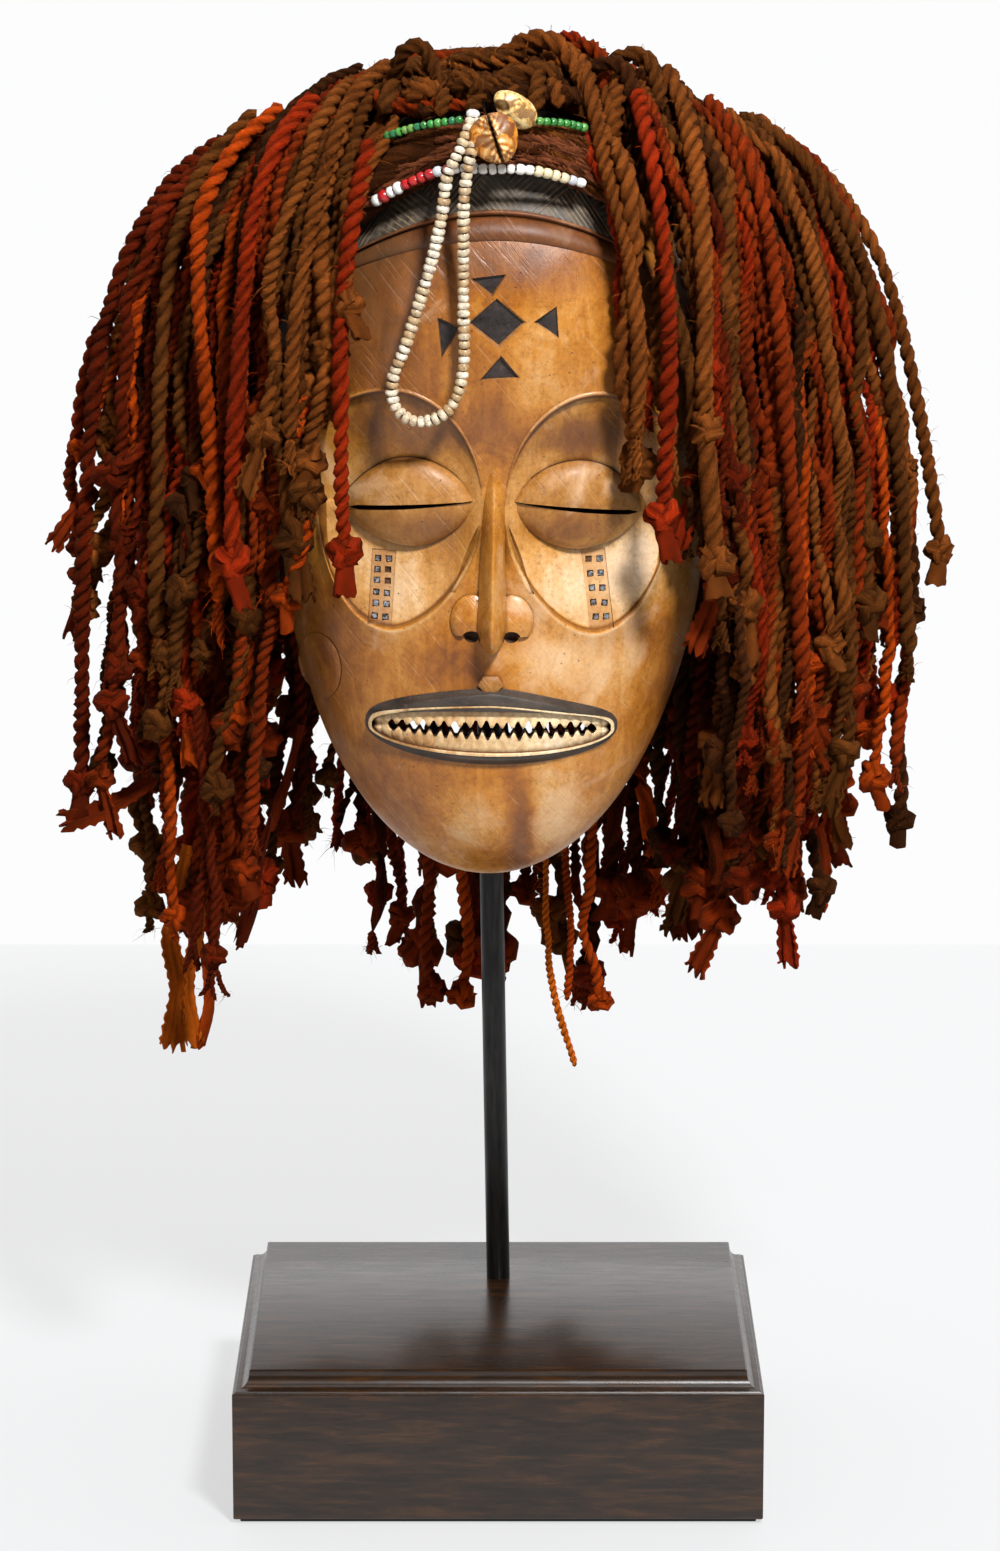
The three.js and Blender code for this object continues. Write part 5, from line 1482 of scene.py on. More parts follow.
def makeTiedCords():
    groups = {"left": [], "right": [], "back": []}
    seed = 100.0
    for layer in tied["layers"]:
        for i in range(layer["count"]):
            seed += 1.7
            share = (i + 0.5) / layer["count"]
            start = 0.0 if i % 3 == 0 else luck.uniform(0.08, 0.5)
            route = tiedRoute(layer, share, start)
            x, y = route[-1][:2]
            palette = tied["leftDyes"] if x < 0 else tied["rightDyes"]
            group = groups["back" if y > 0.075 else "left" if x < 0 else "right"]
            inner, behind = layer["side"] == "inner", y > 0.075
            tipDye = luck.choice(("red", "orange", "rust")) if luck.random() < 0.12 else None
            radius = luck.uniform(*layer["radii"]) * mm
            hangCord(group, route, radius, luck.choice(palette), seed, tipDye, 0.4, 0.0 if inner else 0.25,
                     0.0 if inner else 0.3, fine=max(0, layer["fine"] - behind),
                     rings=layer["rings"] * (0.8 if behind else 1), deep=layer["deep"])
    # the cords behind the jaw have their dye darkened to 0.7: painted shade
    for i in range(14):  # dark ones that hang behind the jaw
        seed += 1.9
        x = (-1 if i % 3 == 0 else 1) * luck.uniform(60, 98)
        y, end = luck.uniform(44, 66), luck.uniform(212, 262)
        route = [(x * 1.1, y, 426), (x * 1.06 + luck.uniform(-2, 2), y + 1, 374),
                 (x + luck.uniform(-3, 3), y + 2, 318),
                 (x + luck.uniform(-6, 6), y, end)]
        hangCord(groups["left" if x < 0 else "right"], np.array(route) * mm, luck.uniform(2.3, 3.0) * mm,
                 luck.choice(("dark", "dark", "burgundy", "umber")), seed, fine=0, rings=1.8, deep=0.7)
    for kind, dye, size, route in placedEnds:
        seed += 2.3
        group = groups["left" if route[0][0] < 0 else "right"]
        if kind == "strip":
            addStrip(group, np.array(route) * mm, np.array(size) * mm, dyes[dye], seed)
        else:
            line = addRope(group, np.array(route) * mm, size * mm, dyes[dye], seed, 2, 0.0015, tipTaper=1)
            addFibres(group, line, size * mm, dyes[dye], 14, 0.005)
            if kind == "knot":
                addKnot(group, line[-1], size * 1.2 * mm, dyes[dye], seed)
    return groups


# Ends that show singly below the rest: torn flat strips and thin cords
placedEnds = [
    ("rope", "dark", 3.0, [(88, 34, 424), (86, 33, 376), (79, 33, 338), (72, 34, 306), (69, 34, 272)]),
    ("rope", "burgundy", 2.8, [(94, 30, 424), (91, 29, 376), (84, 29, 338), (78, 30, 300), (76, 31, 262)]),
    ("rope", "dark", 2.8, [(88, 50, 424), (84, 50, 372), (76, 49, 332), (66, 48, 296), (61, 47, 256)]),
    ("rope", "dark", 3.0, [(98, 42, 424), (94, 42, 370), (88, 41, 326), (83, 40, 284), (80, 40, 248)]),
    ("rope", "burgundy", 2.6, [(-88, 34, 424), (-87, 33, 376), (-81, 33, 338), (-77, 34, 306),
        (-76, 34, 276)]),
    ("strip", "amber", (5, 5, 6, 7, 9), [(-120, 13, 240), (-124, 12, 222), (-127, 11, 203), (-124, 10, 185),
        (-127, 10, 160)]),
    ("strip", "amber", (4, 5, 5, 7), [(-114, 14, 226), (-117, 12, 205), (-121, 11, 186), (-118, 10, 162)]),
    ("strip", "orange", (5, 6, 8, 9), [(-116, 16, 205), (-113, 14, 190), (-112, 14, 176), (-116, 14, 160)]),
    ("strip", "rust", (5, 7, 10, 10), [(-132, 8, 268), (-144, 4, 261), (-155, 2, 256), (-167, 0, 253)]),
    ("strip", "rust", (5, 6, 8), [(-152, 6, 380), (-160, 2, 372), (-169, 0, 360)]),
    ("strip", "rust", (4, 5, 7), [(-76, 30, 284), (-82, 28, 262), (-88, 26, 244)]),
    ("strip", "burgundy", (6, 8, 9, 7), [(-88, 18, 250), (-93, 18, 233), (-96, 18, 216), (-101, 18, 200)]),
    ("rope", "amber", 1.5, [(17, 60, 262), (19, 60, 223), (20, 60, 194), (23, 60, 166), (31, 60, 138)]),
    ("rope", "orange", 1.6, [(30, 58, 262), (26, 58, 224), (29, 58, 194), (27, 58, 166)]),
    ("knot", "orange", 2.3, [(38, 60, 262), (36, 60, 214), (33, 60, 194), (39, 60, 178), (41, 60, 166)]),
    ("knot", "rust", 2.6, [(-30, 54, 262), (-28, 54, 216), (-29, 54, 190), (-26, 54, 172)]),
    ("knot", "orange", 2.6, [(-12, 54, 262), (-14, 54, 216), (-12, 54, 190), (-15, 54, 170)]),
    ("strip", "burgundy", (4, 5, 8, 11), [(76, 60, 236), (74, 60, 220), (74, 60, 206), (76, 60, 192)]),
    ("knot", "orange", 3.3, [(142, 16, 316), (143, 15, 300), (141, 14, 286)]),
    ("knot", "dark", 2.3, [(88, 50, 262), (92, 50, 240), (94, 50, 224)]),
    ("strip", "rust", (4, 5, 6), [(124, 20, 246), (127, 19, 230), (125, 18, 214)]),
]
slotBySide = {"left": "cord_red", "right": "cord_brown", "back": "cord_dark"}
for side, group in makeTiedCords().items():
    replaced = ["tied_cords"] if side == "back" else []
    finishPiece("tied_cords_" + side, joined(group), [cordFibre], replaced, slotBySide[side], 75)
print("tied cords hung")

# Locks in front of them, beside the face: some placed one by one, the rest spread between the
# innermost and the outermost run of each side
placedLocks = [
    ("brown", 3.2, [(-37, -48, 527), (-44, -61, 511), (-51, -69, 486), (-55, -73, 462)]),
    ("brown", 3.6, [(-54, -20, 538), (-66, -44, 524), (-72, -58, 500), (-80, -62, 472), (-84, -63, 443),
        (-84, -62, 414)]),
    ("umber", 3.6, [(-56, -16, 532), (-72, -44, 514), (-79, -56, 482), (-80, -61, 450), (-78, -62, 425),
        (-80, -60, 399), (-76, -60, 374)]),
    ("brown", 3.8, [(-44, -30, 535), (-56, -50, 518), (-62, -62, 494), (-65, -66, 462), (-66, -67, 430),
        (-67, -66, 404)]),
    ("umber", 3.7, [(-50, -30, 533), (-62, -48, 515), (-69, -58, 488), (-71, -62, 455), (-71, -63, 420),
        (-71, -62, 392)]),
    ("orange", 2.6, [(-73, -20, 519), (-86, -40, 495), (-91, -47, 459), (-93, -47, 415), (-89, -47, 385),
        (-87, -46, 352)]),
    ("burgundy", 3.4, [(-100, 6, 514), (-122, -4, 491), (-133, -12, 462), (-138, -14, 425),
        (-140, -14, 387), (-142, -12, 341), (-144, -10, 302)]),
    ("rust", 3.3, [(-111, 24, 503), (-135, 22, 477), (-151, 20, 447), (-157, 18, 417), (-160, 18, 386),
        (-161, 18, 345)]),
    ("brown", 3.6, [(-35, -20, 536), (-41, -44, 526), (-48, -56, 509), (-53, -61, 490), (-57, -63, 468),
        (-59, -63, 446), (-61, -63, 424)]),
    ("umber", 3.5, [(-37, -14, 538), (-47, -36, 528), (-55, -49, 511), (-60, -55, 489), (-63, -58, 464),
        (-66, -59, 439), (-68, -59, 413), (-70, -57, 396)]),
    ("brown", 3.6, [(-44, -18, 535), (-54, -38, 525), (-60, -48, 507), (-66, -54, 486), (-69, -58, 460),
        (-71, -58, 431), (-74, -57, 405), (-72, -55, 379)]),
    ("brown", 4.3, [(29, -20, 543), (32, -44, 535), (37, -58, 523), (41, -64, 510), (45, -67, 496),
        (47, -67, 482), (47, -66, 467), (48, -66, 451), (49, -66, 432), (50, -66, 414), (51, -65, 402)]),
    ("red", 3.3, [(31, -50, 525), (33, -58, 509), (37, -61, 492), (41, -61, 474), (44, -60, 457),
        (49, -60, 437), (53, -60, 420)]),
    ("brown", 3.7, [(36, -22, 538), (41, -48, 525), (49, -59, 504), (54, -62, 483), (56, -62, 465),
        (57, -62, 445), (60, -60, 425), (63, -57, 406)]),
    ("umber", 3.7, [(42, -16, 540), (50, -42, 524), (57, -54, 504), (61, -58, 479), (66, -58, 453),
        (70, -56, 424), (75, -53, 397), (78, -50, 363), (80, -44, 338)]),
    ("brown", 3.6, [(52, -14, 541), (59, -40, 524), (65, -49, 503), (71, -54, 478), (75, -55, 453),
        (80, -52, 423), (85, -46, 385), (89, -42, 347), (91, -36, 320)]),
    ("brown", 3.6, [(69, -8, 534), (79, -30, 512), (83, -44, 481), (86, -50, 445), (87, -50, 408),
        (89, -48, 378), (90, -46, 347)]),
    ("brown", 3.5, [(85, 2, 525), (103, -12, 505), (112, -24, 478), (119, -30, 446), (123, -30, 408),
        (126, -28, 367), (128, -26, 328)]),
    ("umber", 3.4, [(90, 6, 523), (113, 0, 502), (126, -8, 477), (134, -14, 447), (138, -16, 414),
        (141, -14, 379), (140, -12, 341)]),
    ("dark", 3.4, [(-50, 0, 541), (-74, -20, 527), (-86, -32, 500), (-88, -36, 462), (-88, -36, 425),
        (-90, -34, 380), (-89, -30, 330), (-90, -24, 280)]),
    ("dark", 3.4, [(50, 0, 543), (70, -22, 530), (80, -34, 500), (81, -38, 462), (82, -38, 425),
        (84, -36, 380), (84, -32, 330), (86, -26, 285)]),
]
veils = {
    "left": {"count": 34, "dyes": tied["leftDyes"] + ["orange"],
             "inner": [(-44, -28, 537), (-58, -48, 520), (-66, -58, 496), (-69, -62, 462), (-70, -62, 428)],
             "outer": [(-98, 16, 515), (-119, 10, 498), (-134, 4, 472), (-144, 0, 442), (-150, -2, 410)]},
    "right": {"count": 46, "dyes": tied["rightDyes"],
              "inner": [(44, -30, 541), (56, -46, 526), (64, -56, 500), (69, -61, 464), (71, -62, 428)],
              "outer": [(94, 14, 520), (117, 8, 503), (133, 0, 478), (145, -4, 448), (153, -5, 412)]},
}


def makeLocks(side):
    hair = []
    veil = veils[side]
    sign = -1 if side == "left" else 1
    for i, (dye, radius, route) in enumerate(placedLocks):
        if route[0][0] * sign > 0:
            hangCord(hair, np.array(route) * mm, radius * 0.86 * mm, dye, 300 + 2.3 * i, fibres=0.45, fine=2)
    inner, outer = np.array(veil["inner"], float), np.array(veil["outer"], float)
    for i in range(veil["count"]):
        share = (i + luck.uniform(0.1, 0.9)) / veil["count"]
        cross = luck.uniform(-0.34, 0.34)  # where it starts, against where it hangs
        spread = np.clip(share + cross * np.linspace(1, 0, 5), 0, 1)[:, None]
        route = mix(inner, outer, spread) + np.array((0, luck.uniform(1, 12), luck.uniform(-6, 1)))
        x, y, z = route[-1]
        end = luck.uniform(250, 400) if abs(x) > 84 else luck.uniform(350, 410)
        for part in (0.3, 0.65, 1.0):
            turn = part * 5 + luck.uniform(-1, 1)
            wave = 4.5 * part * np.array((math.sin(turn), math.cos(turn), 0))
            below = np.array((x * (1 + 0.05 * part), y + 3 * part, mix(z, end, part)))
            route = np.vstack([route, below + wave])
        tipDye = luck.choice(("red", "orange", "rust")) if luck.random() < 0.2 else None
        radius = luck.uniform(2.1, 3.0) * mm
        hangCord(hair, route * mm, radius, luck.choice(veil["dyes"]), 330 + 3.1 * i, tipDye)
    return joined(hair)


# The messy cords on the crown: short runs over the net, and two coils
crownRuns = [
    ("brown", 3.2, [(-33, -20, 538), (-20, -30, 543), (-4, -26, 545), (12, -22, 545), (26, -18, 545),
        (36, -12, 542)]),
    ("umber", 3.4, [(-46, -14, 533), (-36, -34, 535), (-20, -44, 537), (-4, -46, 538), (8, -47, 536)]),
    ("rust", 3.2, [(-54, -6, 531), (-50, -28, 532), (-40, -42, 530), (-26, -50, 530), (-10, -53, 530)]),
    ("umber", 3.6, [(20, -10, 544), (8, -30, 542), (-4, -46, 537), (-12, -56, 529)]),
    ("dark", 3.6, [(-10, 0, 543), (-16, -22, 543), (-22, -42, 537), (-28, -55, 527)]),
    ("umber", 3.6, [(-22, 4, 541), (-30, -16, 541), (-38, -36, 536), (-42, -51, 526)]),
    ("umber", 3.4, [(4, 2, 543), (2, -22, 543), (4, -42, 538), (6, -55, 530)]),
    ("brown", 3.6, [(16, 4, 543), (18, -18, 544), (20, -38, 539), (22, -53, 529)]),
    ("umber", 3.4, [(30, 4, 542), (32, -16, 542), (33, -34, 537), (33, -51, 526)]),
    ("brown", 3.5, [(44, 2, 540), (46, -18, 539), (44, -38, 533), (43, -53, 519)]),
    ("rust", 3.3, [(-2, 16, 543), (-26, 6, 542), (-48, -8, 536), (-64, -24, 525)]),
    ("brown", 3.3, [(4, 18, 543), (28, 8, 542), (52, -6, 538), (68, -20, 527)]),
    ("umber", 3.2, [(0, 24, 543), (-18, 22, 542), (-40, 18, 537), (-66, 12, 525)]),
    ("rust", 3.2, [(2, 26, 543), (22, 24, 542), (46, 20, 538), (70, 14, 526)]),
    ("brown", 3.2, [(-16, -12, 543), (-2, -20, 544), (14, -14, 545), (22, 0, 544), (12, 14, 543)]),
    ("umber", 3.2, [(-30, -4, 540), (-22, 14, 542), (-8, 24, 543), (10, 22, 543)]),
    # the loop that stands up on the left and comes down behind the shells
    ("umber", 3.5, [(-38, -30, 534), (-37, -40, 543), (-34, -44, 550), (-28, -45, 552), (-24, -44, 547),
        (-21, -46, 541), (-17, -50, 535), (-14, -54, 529)]),
    ("umber", 3.3, [(-20, -32, 543), (-12, -34, 546), (0, -34, 546), (10, -33, 548), (18, -31, 551),
        (24, -28, 550)]),
    # the arch that stands up before it falls beside the brow, and the lumps behind it
    ("brown", 3.6, [(-4, -16, 540), (2, -28, 547), (8, -33, 552), (15, -35, 554), (22, -36, 552),
        (27, -37, 546), (30, -42, 539), (33, -50, 530)]),
    ("red", 3.0, [(22, 0, 546), (25, -8, 552), (29, -10, 551), (31, -14, 546)]),
    ("rust", 3.2, [(26, -8, 543), (31, -18, 549), (36, -22, 546), (38, -28, 539), (38, -36, 534)]),
    ("dark", 3.4, [(30, -26, 540), (36, -36, 543), (42, -38, 545), (47, -38, 541), (49, -40, 532),
        (50, -42, 520), (50, -44, 506)]),
    ("umber", 3.3, [(40, -22, 542), (47, -28, 547), (54, -28, 546), (58, -30, 538), (60, -34, 526)]),
    ("umber", 3.6, [(0, -36, 538), (8, -42, 541), (16, -42, 542), (24, -41, 540)]),
    ("dark", 3.6, [(-18, -42, 538), (-7, -44, 536), (2, -46, 537), (12, -46, 534)]),
    ("dark", 3.8, [(-46, -30, 522), (-28, -44, 531), (-8, -48, 534), (14, -48, 534), (32, -42, 531),
        (50, -30, 522)]),
    ("umber", 3.5, [(12, -26, 545), (14, -46, 540), (13, -57, 533), (11, -61, 527)]),
    ("umber", 3.4, [(-19, -36, 540), (-20, -52, 534), (-22, -60, 527)]),
    ("dark", 4.0, [(-56, -24, 519), (-36, -34, 531), (-10, -38, 537), (14, -38, 538), (38, -32, 533),
        (58, -20, 521)]),
    ("dark", 4.2, [(-40, -12, 533), (-14, -20, 539), (14, -20, 539), (42, -10, 534)]),
    ("dark", 4.4, [(-34, 6, 533), (-10, 4, 537), (16, 4, 537), (40, 8, 532)]),
]
crownCoils = [{"centre": (-27, -47, 533), "size": 7.0, "turns": 1.9, "dye": "brown"},
              {"centre": (-12, -50, 537), "size": 5.5, "turns": 1.6, "dye": "umber"}]


def makeCrown():
    hair = []
    for i, (dye, radius, route) in enumerate(crownRuns):
        line = addRope(hair, np.array(route) * mm, radius * mm, dyes[dye], 400 + 2.9 * i, 3, 0.002, 0.3)
        addFibres(hair, line, radius * mm, dyes[dye], int(len(line) * 0.5), 0.005)
    for i, coil in enumerate(crownCoils):
        t = np.linspace(0, 1, 22)
        angle = t * coil["turns"] * 2 * np.pi
        reach = coil["size"] * (0.35 + 0.65 * t)
        x, z = reach * np.cos(angle), reach * np.sin(angle) * 0.9
        points = np.array(coil["centre"], float) + np.stack([x, -4 * (1 - t) - 2 * np.sin(angle), z], 1)
        addRope(hair, points * mm, 3.3 * mm, dyes[coil["dye"]], 460 + i, wobble=0.001)
    return joined(hair)


for side in ("left", "right"):
    finishPiece("front_locks_" + side, makeLocks(side), [cordFibre], (), slotBySide[side], 75)
finishPiece("crown_cords", makeCrown(), [cordFibre], (), "cord_brown", 75)
print("front locks and crown made")

# The roll of combed fibre that edges the net above the brow: a dark core with loose strands round it
browRoll = {"halfLength": 58, "z": 517.5, "drop": 26, "y": -59, "curve": 20, "halfDepth": 6.2,
            "halfHeight": 9.6, "strands": 58, "radii": (0.7, 1.9), "waist": 0.16}


def rollPlace(x, angle, lift):
    bow = (x / browRoll["halfLength"]) ** 2
    full = 1 - browRoll["waist"] * math.cos(x / 17)
    y = browRoll["y"] + browRoll["curve"] * bow - (browRoll["halfDepth"] * full + lift) * math.cos(angle)
    z = browRoll["z"] - browRoll["drop"] * bow + (browRoll["halfHeight"] * full + lift) * math.sin(angle)
    return x, y, z


def makeBrowRoll():
    hair = []
    spots = np.linspace(-browRoll["halfLength"], browRoll["halfLength"], 40)
    for angle in np.linspace(0, 2 * math.pi, 7)[:-1]:
        core = [rollPlace(x, angle, -4.4) for x in spots]
        addRope(hair, np.array(core) * mm, 4.6 * mm, dyes["dark"], 500 + angle, plies=2, wobble=0, bump=6,
                rings=10, groove=0.9)
    for i in range(browRoll["strands"]):
        angle, slant = luck.uniform(-1.6, 1.6), luck.uniform(-0.016, 0.026)
        first = luck.uniform(-58, 20)
        last = min(58, first + luck.uniform(40, 110))
        radius = luck.uniform(*browRoll["radii"])
        run = []
        for x in np.linspace(first, last, 14):
            turn = angle + slant * x + 0.16 * math.sin(x / 9 + i)
            run.append(rollPlace(x, turn, luck.uniform(-0.5, 0.3) - radius * 0.3))
        dye = dyes[luck.choice(("taupe", "taupe", "umber", "dark", "taupe"))]
        line = addRope(hair, np.array(run) * mm, radius * mm, dye, 520 + 3.3 * i, plies=2, wobble=0.0005,
                       tipTaper=1, bump=9 / radius, rings=6, fine=0, groove=0.75)
        addFibres(hair, line, radius * mm, dye, 8, 0.006)
    return joined(hair)


finishPiece("brow_braid_cord", makeBrowRoll(), [combedFibre], ["brow_braid"], "cord_brown", 75)
print("brow roll made")

# Strings of glass and shell beads, each route in millimetres
beadStrings = [
    {"name": "bead_loop_string", "node": "bead_loop", "slot": "bead_cream", "radius": 2.35, "pitch": 2.8,
     "hole": 0.6,
     "tints": [(214, 196, 164), (226, 212, 184), (198, 174, 136), (232, 222, 200), (184, 152, 108)],
     "route": [
         (-9, -71, 529), (-13, -75, 518), (-18, -76, 508), (-20, -74, 494), (-24, -72, 476),
         (-30, -71, 456), (-34, -70.5, 444), (-38, -69.5, 434), (-38.5, -69, 427), (-36, -69.5, 421),
         (-31, -70.5, 418), (-25, -71, 418), (-19, -71, 421), (-14.5, -71, 428), (-12.5, -71, 438),
         (-12.5, -71.5, 458), (-12.5, -72.5, 480), (-12, -75, 502), (-10, -76, 514), (-7, -72, 526)]},
    {"name": "band_beads", "node": "band_bead_strand", "slot": "bead_white", "radius": 1.95, "pitch": 3.3,
     "hole": 0.5, "swell": 1.22,
     "tints": [(236, 234, 228), (176, 30, 34), (236, 234, 228), (238, 236, 230), (178, 26, 30),
               (190, 34, 34), (172, 24, 30), (160, 22, 28), (196, 200, 204), (110, 20, 24),
               *[(238, 236, 228)] * 9, *[(224, 208, 170)] * 4, (190, 192, 196)],
     "route": [
         (-44, -55.5, 496.5), (-34, -60.5, 502.5), (-18, -66, 508.8), (-4, -68, 509), (12, -67, 508.5),
         (30, -61.5, 503.5)]},
    {"name": "green_bead_string_left", "node": "green_beads_left", "slot": "bead_green", "radius": 1.55,
     "pitch": 2.6, "hole": 0.4,
     "tints": [(44, 134, 50), (26, 112, 44), (70, 148, 60), (20, 110, 66), (96, 146, 62)], "route": [
         (-40, -56, 520), (-28, -63, 524), (-14, -66.5, 526.5)]},
    {"name": "green_bead_string_right", "node": "green_beads_right", "slot": "bead_green", "radius": 1.55,
     "pitch": 2.6, "hole": 0.4, "tints": [(44, 132, 50), (34, 116, 46), (76, 140, 62)], "route": [
         (15, -66, 526), (24, -62.5, 525), (31, -58, 523)]},
]


def beadShape(radius, hole, length):  # one bead, turned round its hole
    bm = bmesh.new()
    half = length / 2
    profile = [(hole, -half * 0.8), (radius * 0.72, -half), (radius, -half * 0.45), (radius, half * 0.45),
               (radius * 0.72, half), (hole, half * 0.8)]
    verts = [bm.verts.new((r, 0, z)) for r, z in profile]
    edges = [bm.edges.new(pair) for pair in zip(verts, verts[1:] + verts[:1])]
    bmesh.ops.spin(bm, geom=verts + edges, cent=(0, 0, 0), axis=(0, 0, 1), angle=2 * math.pi, steps=9,
                   use_merge=True)
    bmesh.ops.recalc_face_normals(bm, faces=bm.faces)
    return meshFrom(bm)


def makeBeadString(string):
    route = smoothRoute(np.array(string["route"]) * mm, string["pitch"] * mm)
    along = unit(np.gradient(route, axis=0))
    shape = beadShape(string["radius"] * mm, string["hole"] * mm, string["pitch"] * mm)
    bm = bmesh.new()
    dye = bm.verts.layers.float_color.new("dye")
    for i, (place, direction) in enumerate(zip(route, along)):
        bm.verts.ensure_lookup_table()
        before = len(bm.verts)
        bm.from_mesh(shape)
        bm.verts.ensure_lookup_table()
        verts = bm.verts[before:]
        size = luck.uniform(0.88, 1.08) * mix(string.get("swell", 1), 1, min(1, i / 7))
        length = luck.uniform(0.78, 1.0)
        turn = Vector(direction).to_track_quat("Z", "Y").to_matrix()
        tipX, tipY = [Matrix.Rotation(luck.uniform(-0.16, 0.16), 3, axis) for axis in "XY"]
        if "band" in string["name"]:
            colour = string["tints"][i % len(string["tints"])]
        else:
            colour = luck.choice(string["tints"])
        if i == 0 and "loop" in string["name"]:
            colour = (240, 238, 234)
        colour = tint(*colour)
        for vert in verts:
            local = Vector((vert.co.x * size, vert.co.y * size, vert.co.z * length))
            vert.co = Vector(place) + turn @ (tipX @ tipY) @ local
            vert[dye] = colour
    thread = []
    addRope(thread, np.array(string["route"]) * mm, string["hole"] * 0.9 * mm, (40, 30, 24), 3, wobble=0,
            plies=2, fine=0)
    bm.from_mesh(joined(thread))
    return meshFrom(bm)


def beadMaterial(name, dirt, gloss):
    material, place = newMaterial(name, Roughness=gloss, Specular_IOR_Level=0.55, Coat_Weight=0.25,
                                  Coat_Roughness=0.12)
    stain = noiseOn(place, 480, 5, 0.7)
    colour = blend(ramp(stain, (0.42, 0), (0.72, dirt)), painted(place, "dye"), tint(92, 54, 28))
    pits = noiseOn(place, 1500, 3, 0.6)
    colour = blend(0.6, colour, ramp(pits, (0.3, (0.55, 0.5, 0.45)), (0.5, 1)), "MULTIPLY")
    return finishMaterial(material, colour, None, stain, 0.0003, 0.5)


chalkyBead = beadMaterial("dull cream bead", 0.85, 0.5)
glassBead = beadMaterial("glass bead", 0.25, 0.22)
for string in beadStrings:
    material = chalkyBead if "loop" in string["name"] else glassBead
    finishPiece(string["name"], makeBeadString(string), [material], [string["node"]], string["slot"], 50)
print("bead strings threaded")

# The two cowrie shells
cowrie = {"length": 18.5, "thickness": 8.8, "toothPitch": 1.9}
cowriePlaces = [
    {"name": "cowrie_shell_front", "node": "cowrie_front", "place": (-1.2, -75, 520.6), "turn": -26,
     "tilt": -8, "width": 17.6, "open": True},
    {"name": "cowrie_shell_upper", "node": "cowrie_upper", "place": (6, -68, 530.5), "turn": 134, "tilt": 24,
     "width": 11.6, "open": False},
]


def makeCowrie(shell):
    bm = bmesh.new()
    bmesh.ops.create_uvsphere(bm, u_segments=72, v_segments=64, radius=1)
    dye = bm.verts.layers.float_color.new("dye")
    for vert in bm.verts:
        x, y, z = vert.co
        egg = 1 + 0.16 * z  # broader at one end
        across, height = x * shell["width"] / 2 * egg, z * cowrie["length"] / 2
        deep = y * cowrie["thickness"] / 2
        colour = (0.50, 0.26, 0.06, 1) if shell["open"] else (0.84, 0.66, 0.32, 1)
        if shell["open"] and y < 0:  # the flatter side, with its toothed slit
            deep *= 0.72
            fromSlit = abs(across - 0.9 * math.sin(z * 1.6))
            inside = max(0.0, 1 - z * z) ** 0.35
            bent = height - 0.12 * fromSlit * height
            rib = 0.5 + 0.5 * math.sin(2 * math.pi * bent / cowrie["toothPitch"])
            reach = math.exp(-((fromSlit - 1.8) / 3.0) ** 2)
            cleft = -0.9 * math.exp(-(fromSlit / 3.0) ** 2) + 3.6 * math.exp(-(fromSlit / 0.7) ** 4)
            deep += cleft * inside
            deep -= 0.42 * rib * reach * inside
            pale = rib ** 1.4 * reach * inside
            colour = tuple(mix(a, b, pale) for a, b in zip((0.50, 0.20, 0.015, 1), (1.0, 0.86, 0.50, 1)))
        elif not shell["open"]:  # the back was cut away at one end for the thread
            hole = math.hypot(across - 1.6, height + 5.2)
            if y < 0:
                deep += 4.2 * math.exp(-(hole / 2.3) ** 4) - 0.5 * math.exp(-((hole - 3.2) / 0.8) ** 2)
        vert.co = (across, deep, height)
        vert[dye] = colour
    bmesh.ops.rotate(bm, verts=bm.verts, matrix=Matrix.Rotation(math.radians(shell["turn"]), 3, "Y"))
    bmesh.ops.rotate(bm, verts=bm.verts, matrix=Matrix.Rotation(math.radians(shell["tilt"]), 3, "X"))
    bmesh.ops.translate(bm, verts=bm.verts, vec=shell["place"])
    bmesh.ops.scale(bm, verts=bm.verts, vec=(mm, mm, mm))
    return meshFrom(bm)


def shellMaterial():
    material, place = newMaterial("cowrie shell", Specular_IOR_Level=0.35, Coat_Weight=0.12,
                                  Coat_Roughness=0.15)
    blotch = noiseOn(place, 210, 4, 0.62, 0.8)
    fine = noiseOn(place, 700, 4, 0.65)
    stained = ramp(blotch, (0.47, (0.22, 0.09, 0.02)), (0.53, (0.80, 0.58, 0.28)), (0.60, 1))
    colour = blend(0.85, painted(place, "dye"), stained, "MULTIPLY")
    colour = blend(0.6, colour, ramp(fine, (0.36, (0.52, 0.38, 0.22)), (0.5, 1)), "MULTIPLY")
    # ambient occlusion darkens the shell's hollows to dark brown: painted shade, and the dirt that sits in
    # them
    hollowDirtAndShade = node("AmbientOcclusion", {"samples": 8}, place.id_data, Distance=0.0016).outputs["AO"]
    colour = blend(ramp(hollowDirtAndShade, (0.35, 1), (0.8, 0)), colour, tint(34, 18, 8))
    return finishMaterial(material, colour, ramp(fine, (0.3, 0.5), (0.7, 0.28)), fine, 0.0002, 0.4)


shellSurface = shellMaterial()
for shell in cowriePlaces:
    finishPiece(shell["name"], makeCowrie(shell), [shellSurface], [shell["node"]], "shell", 60)
print("cowries made")

# The wooden base with its hollow moulding, the thin pad under it and the steel rod
stand = {"width": 200, "depth": 172, "faceHeight": 50, "mouldingHeight": 7.5, "mouldingInset": 6.3,
         "bottom": 1.5, "lip": 1.3, "padInset": 2.5, "padThickness": 1.2}
rod = {"radius": 4.6, "footY": 34, "seatDepth": 22, "leanDegrees": 0.9, "top": 502}


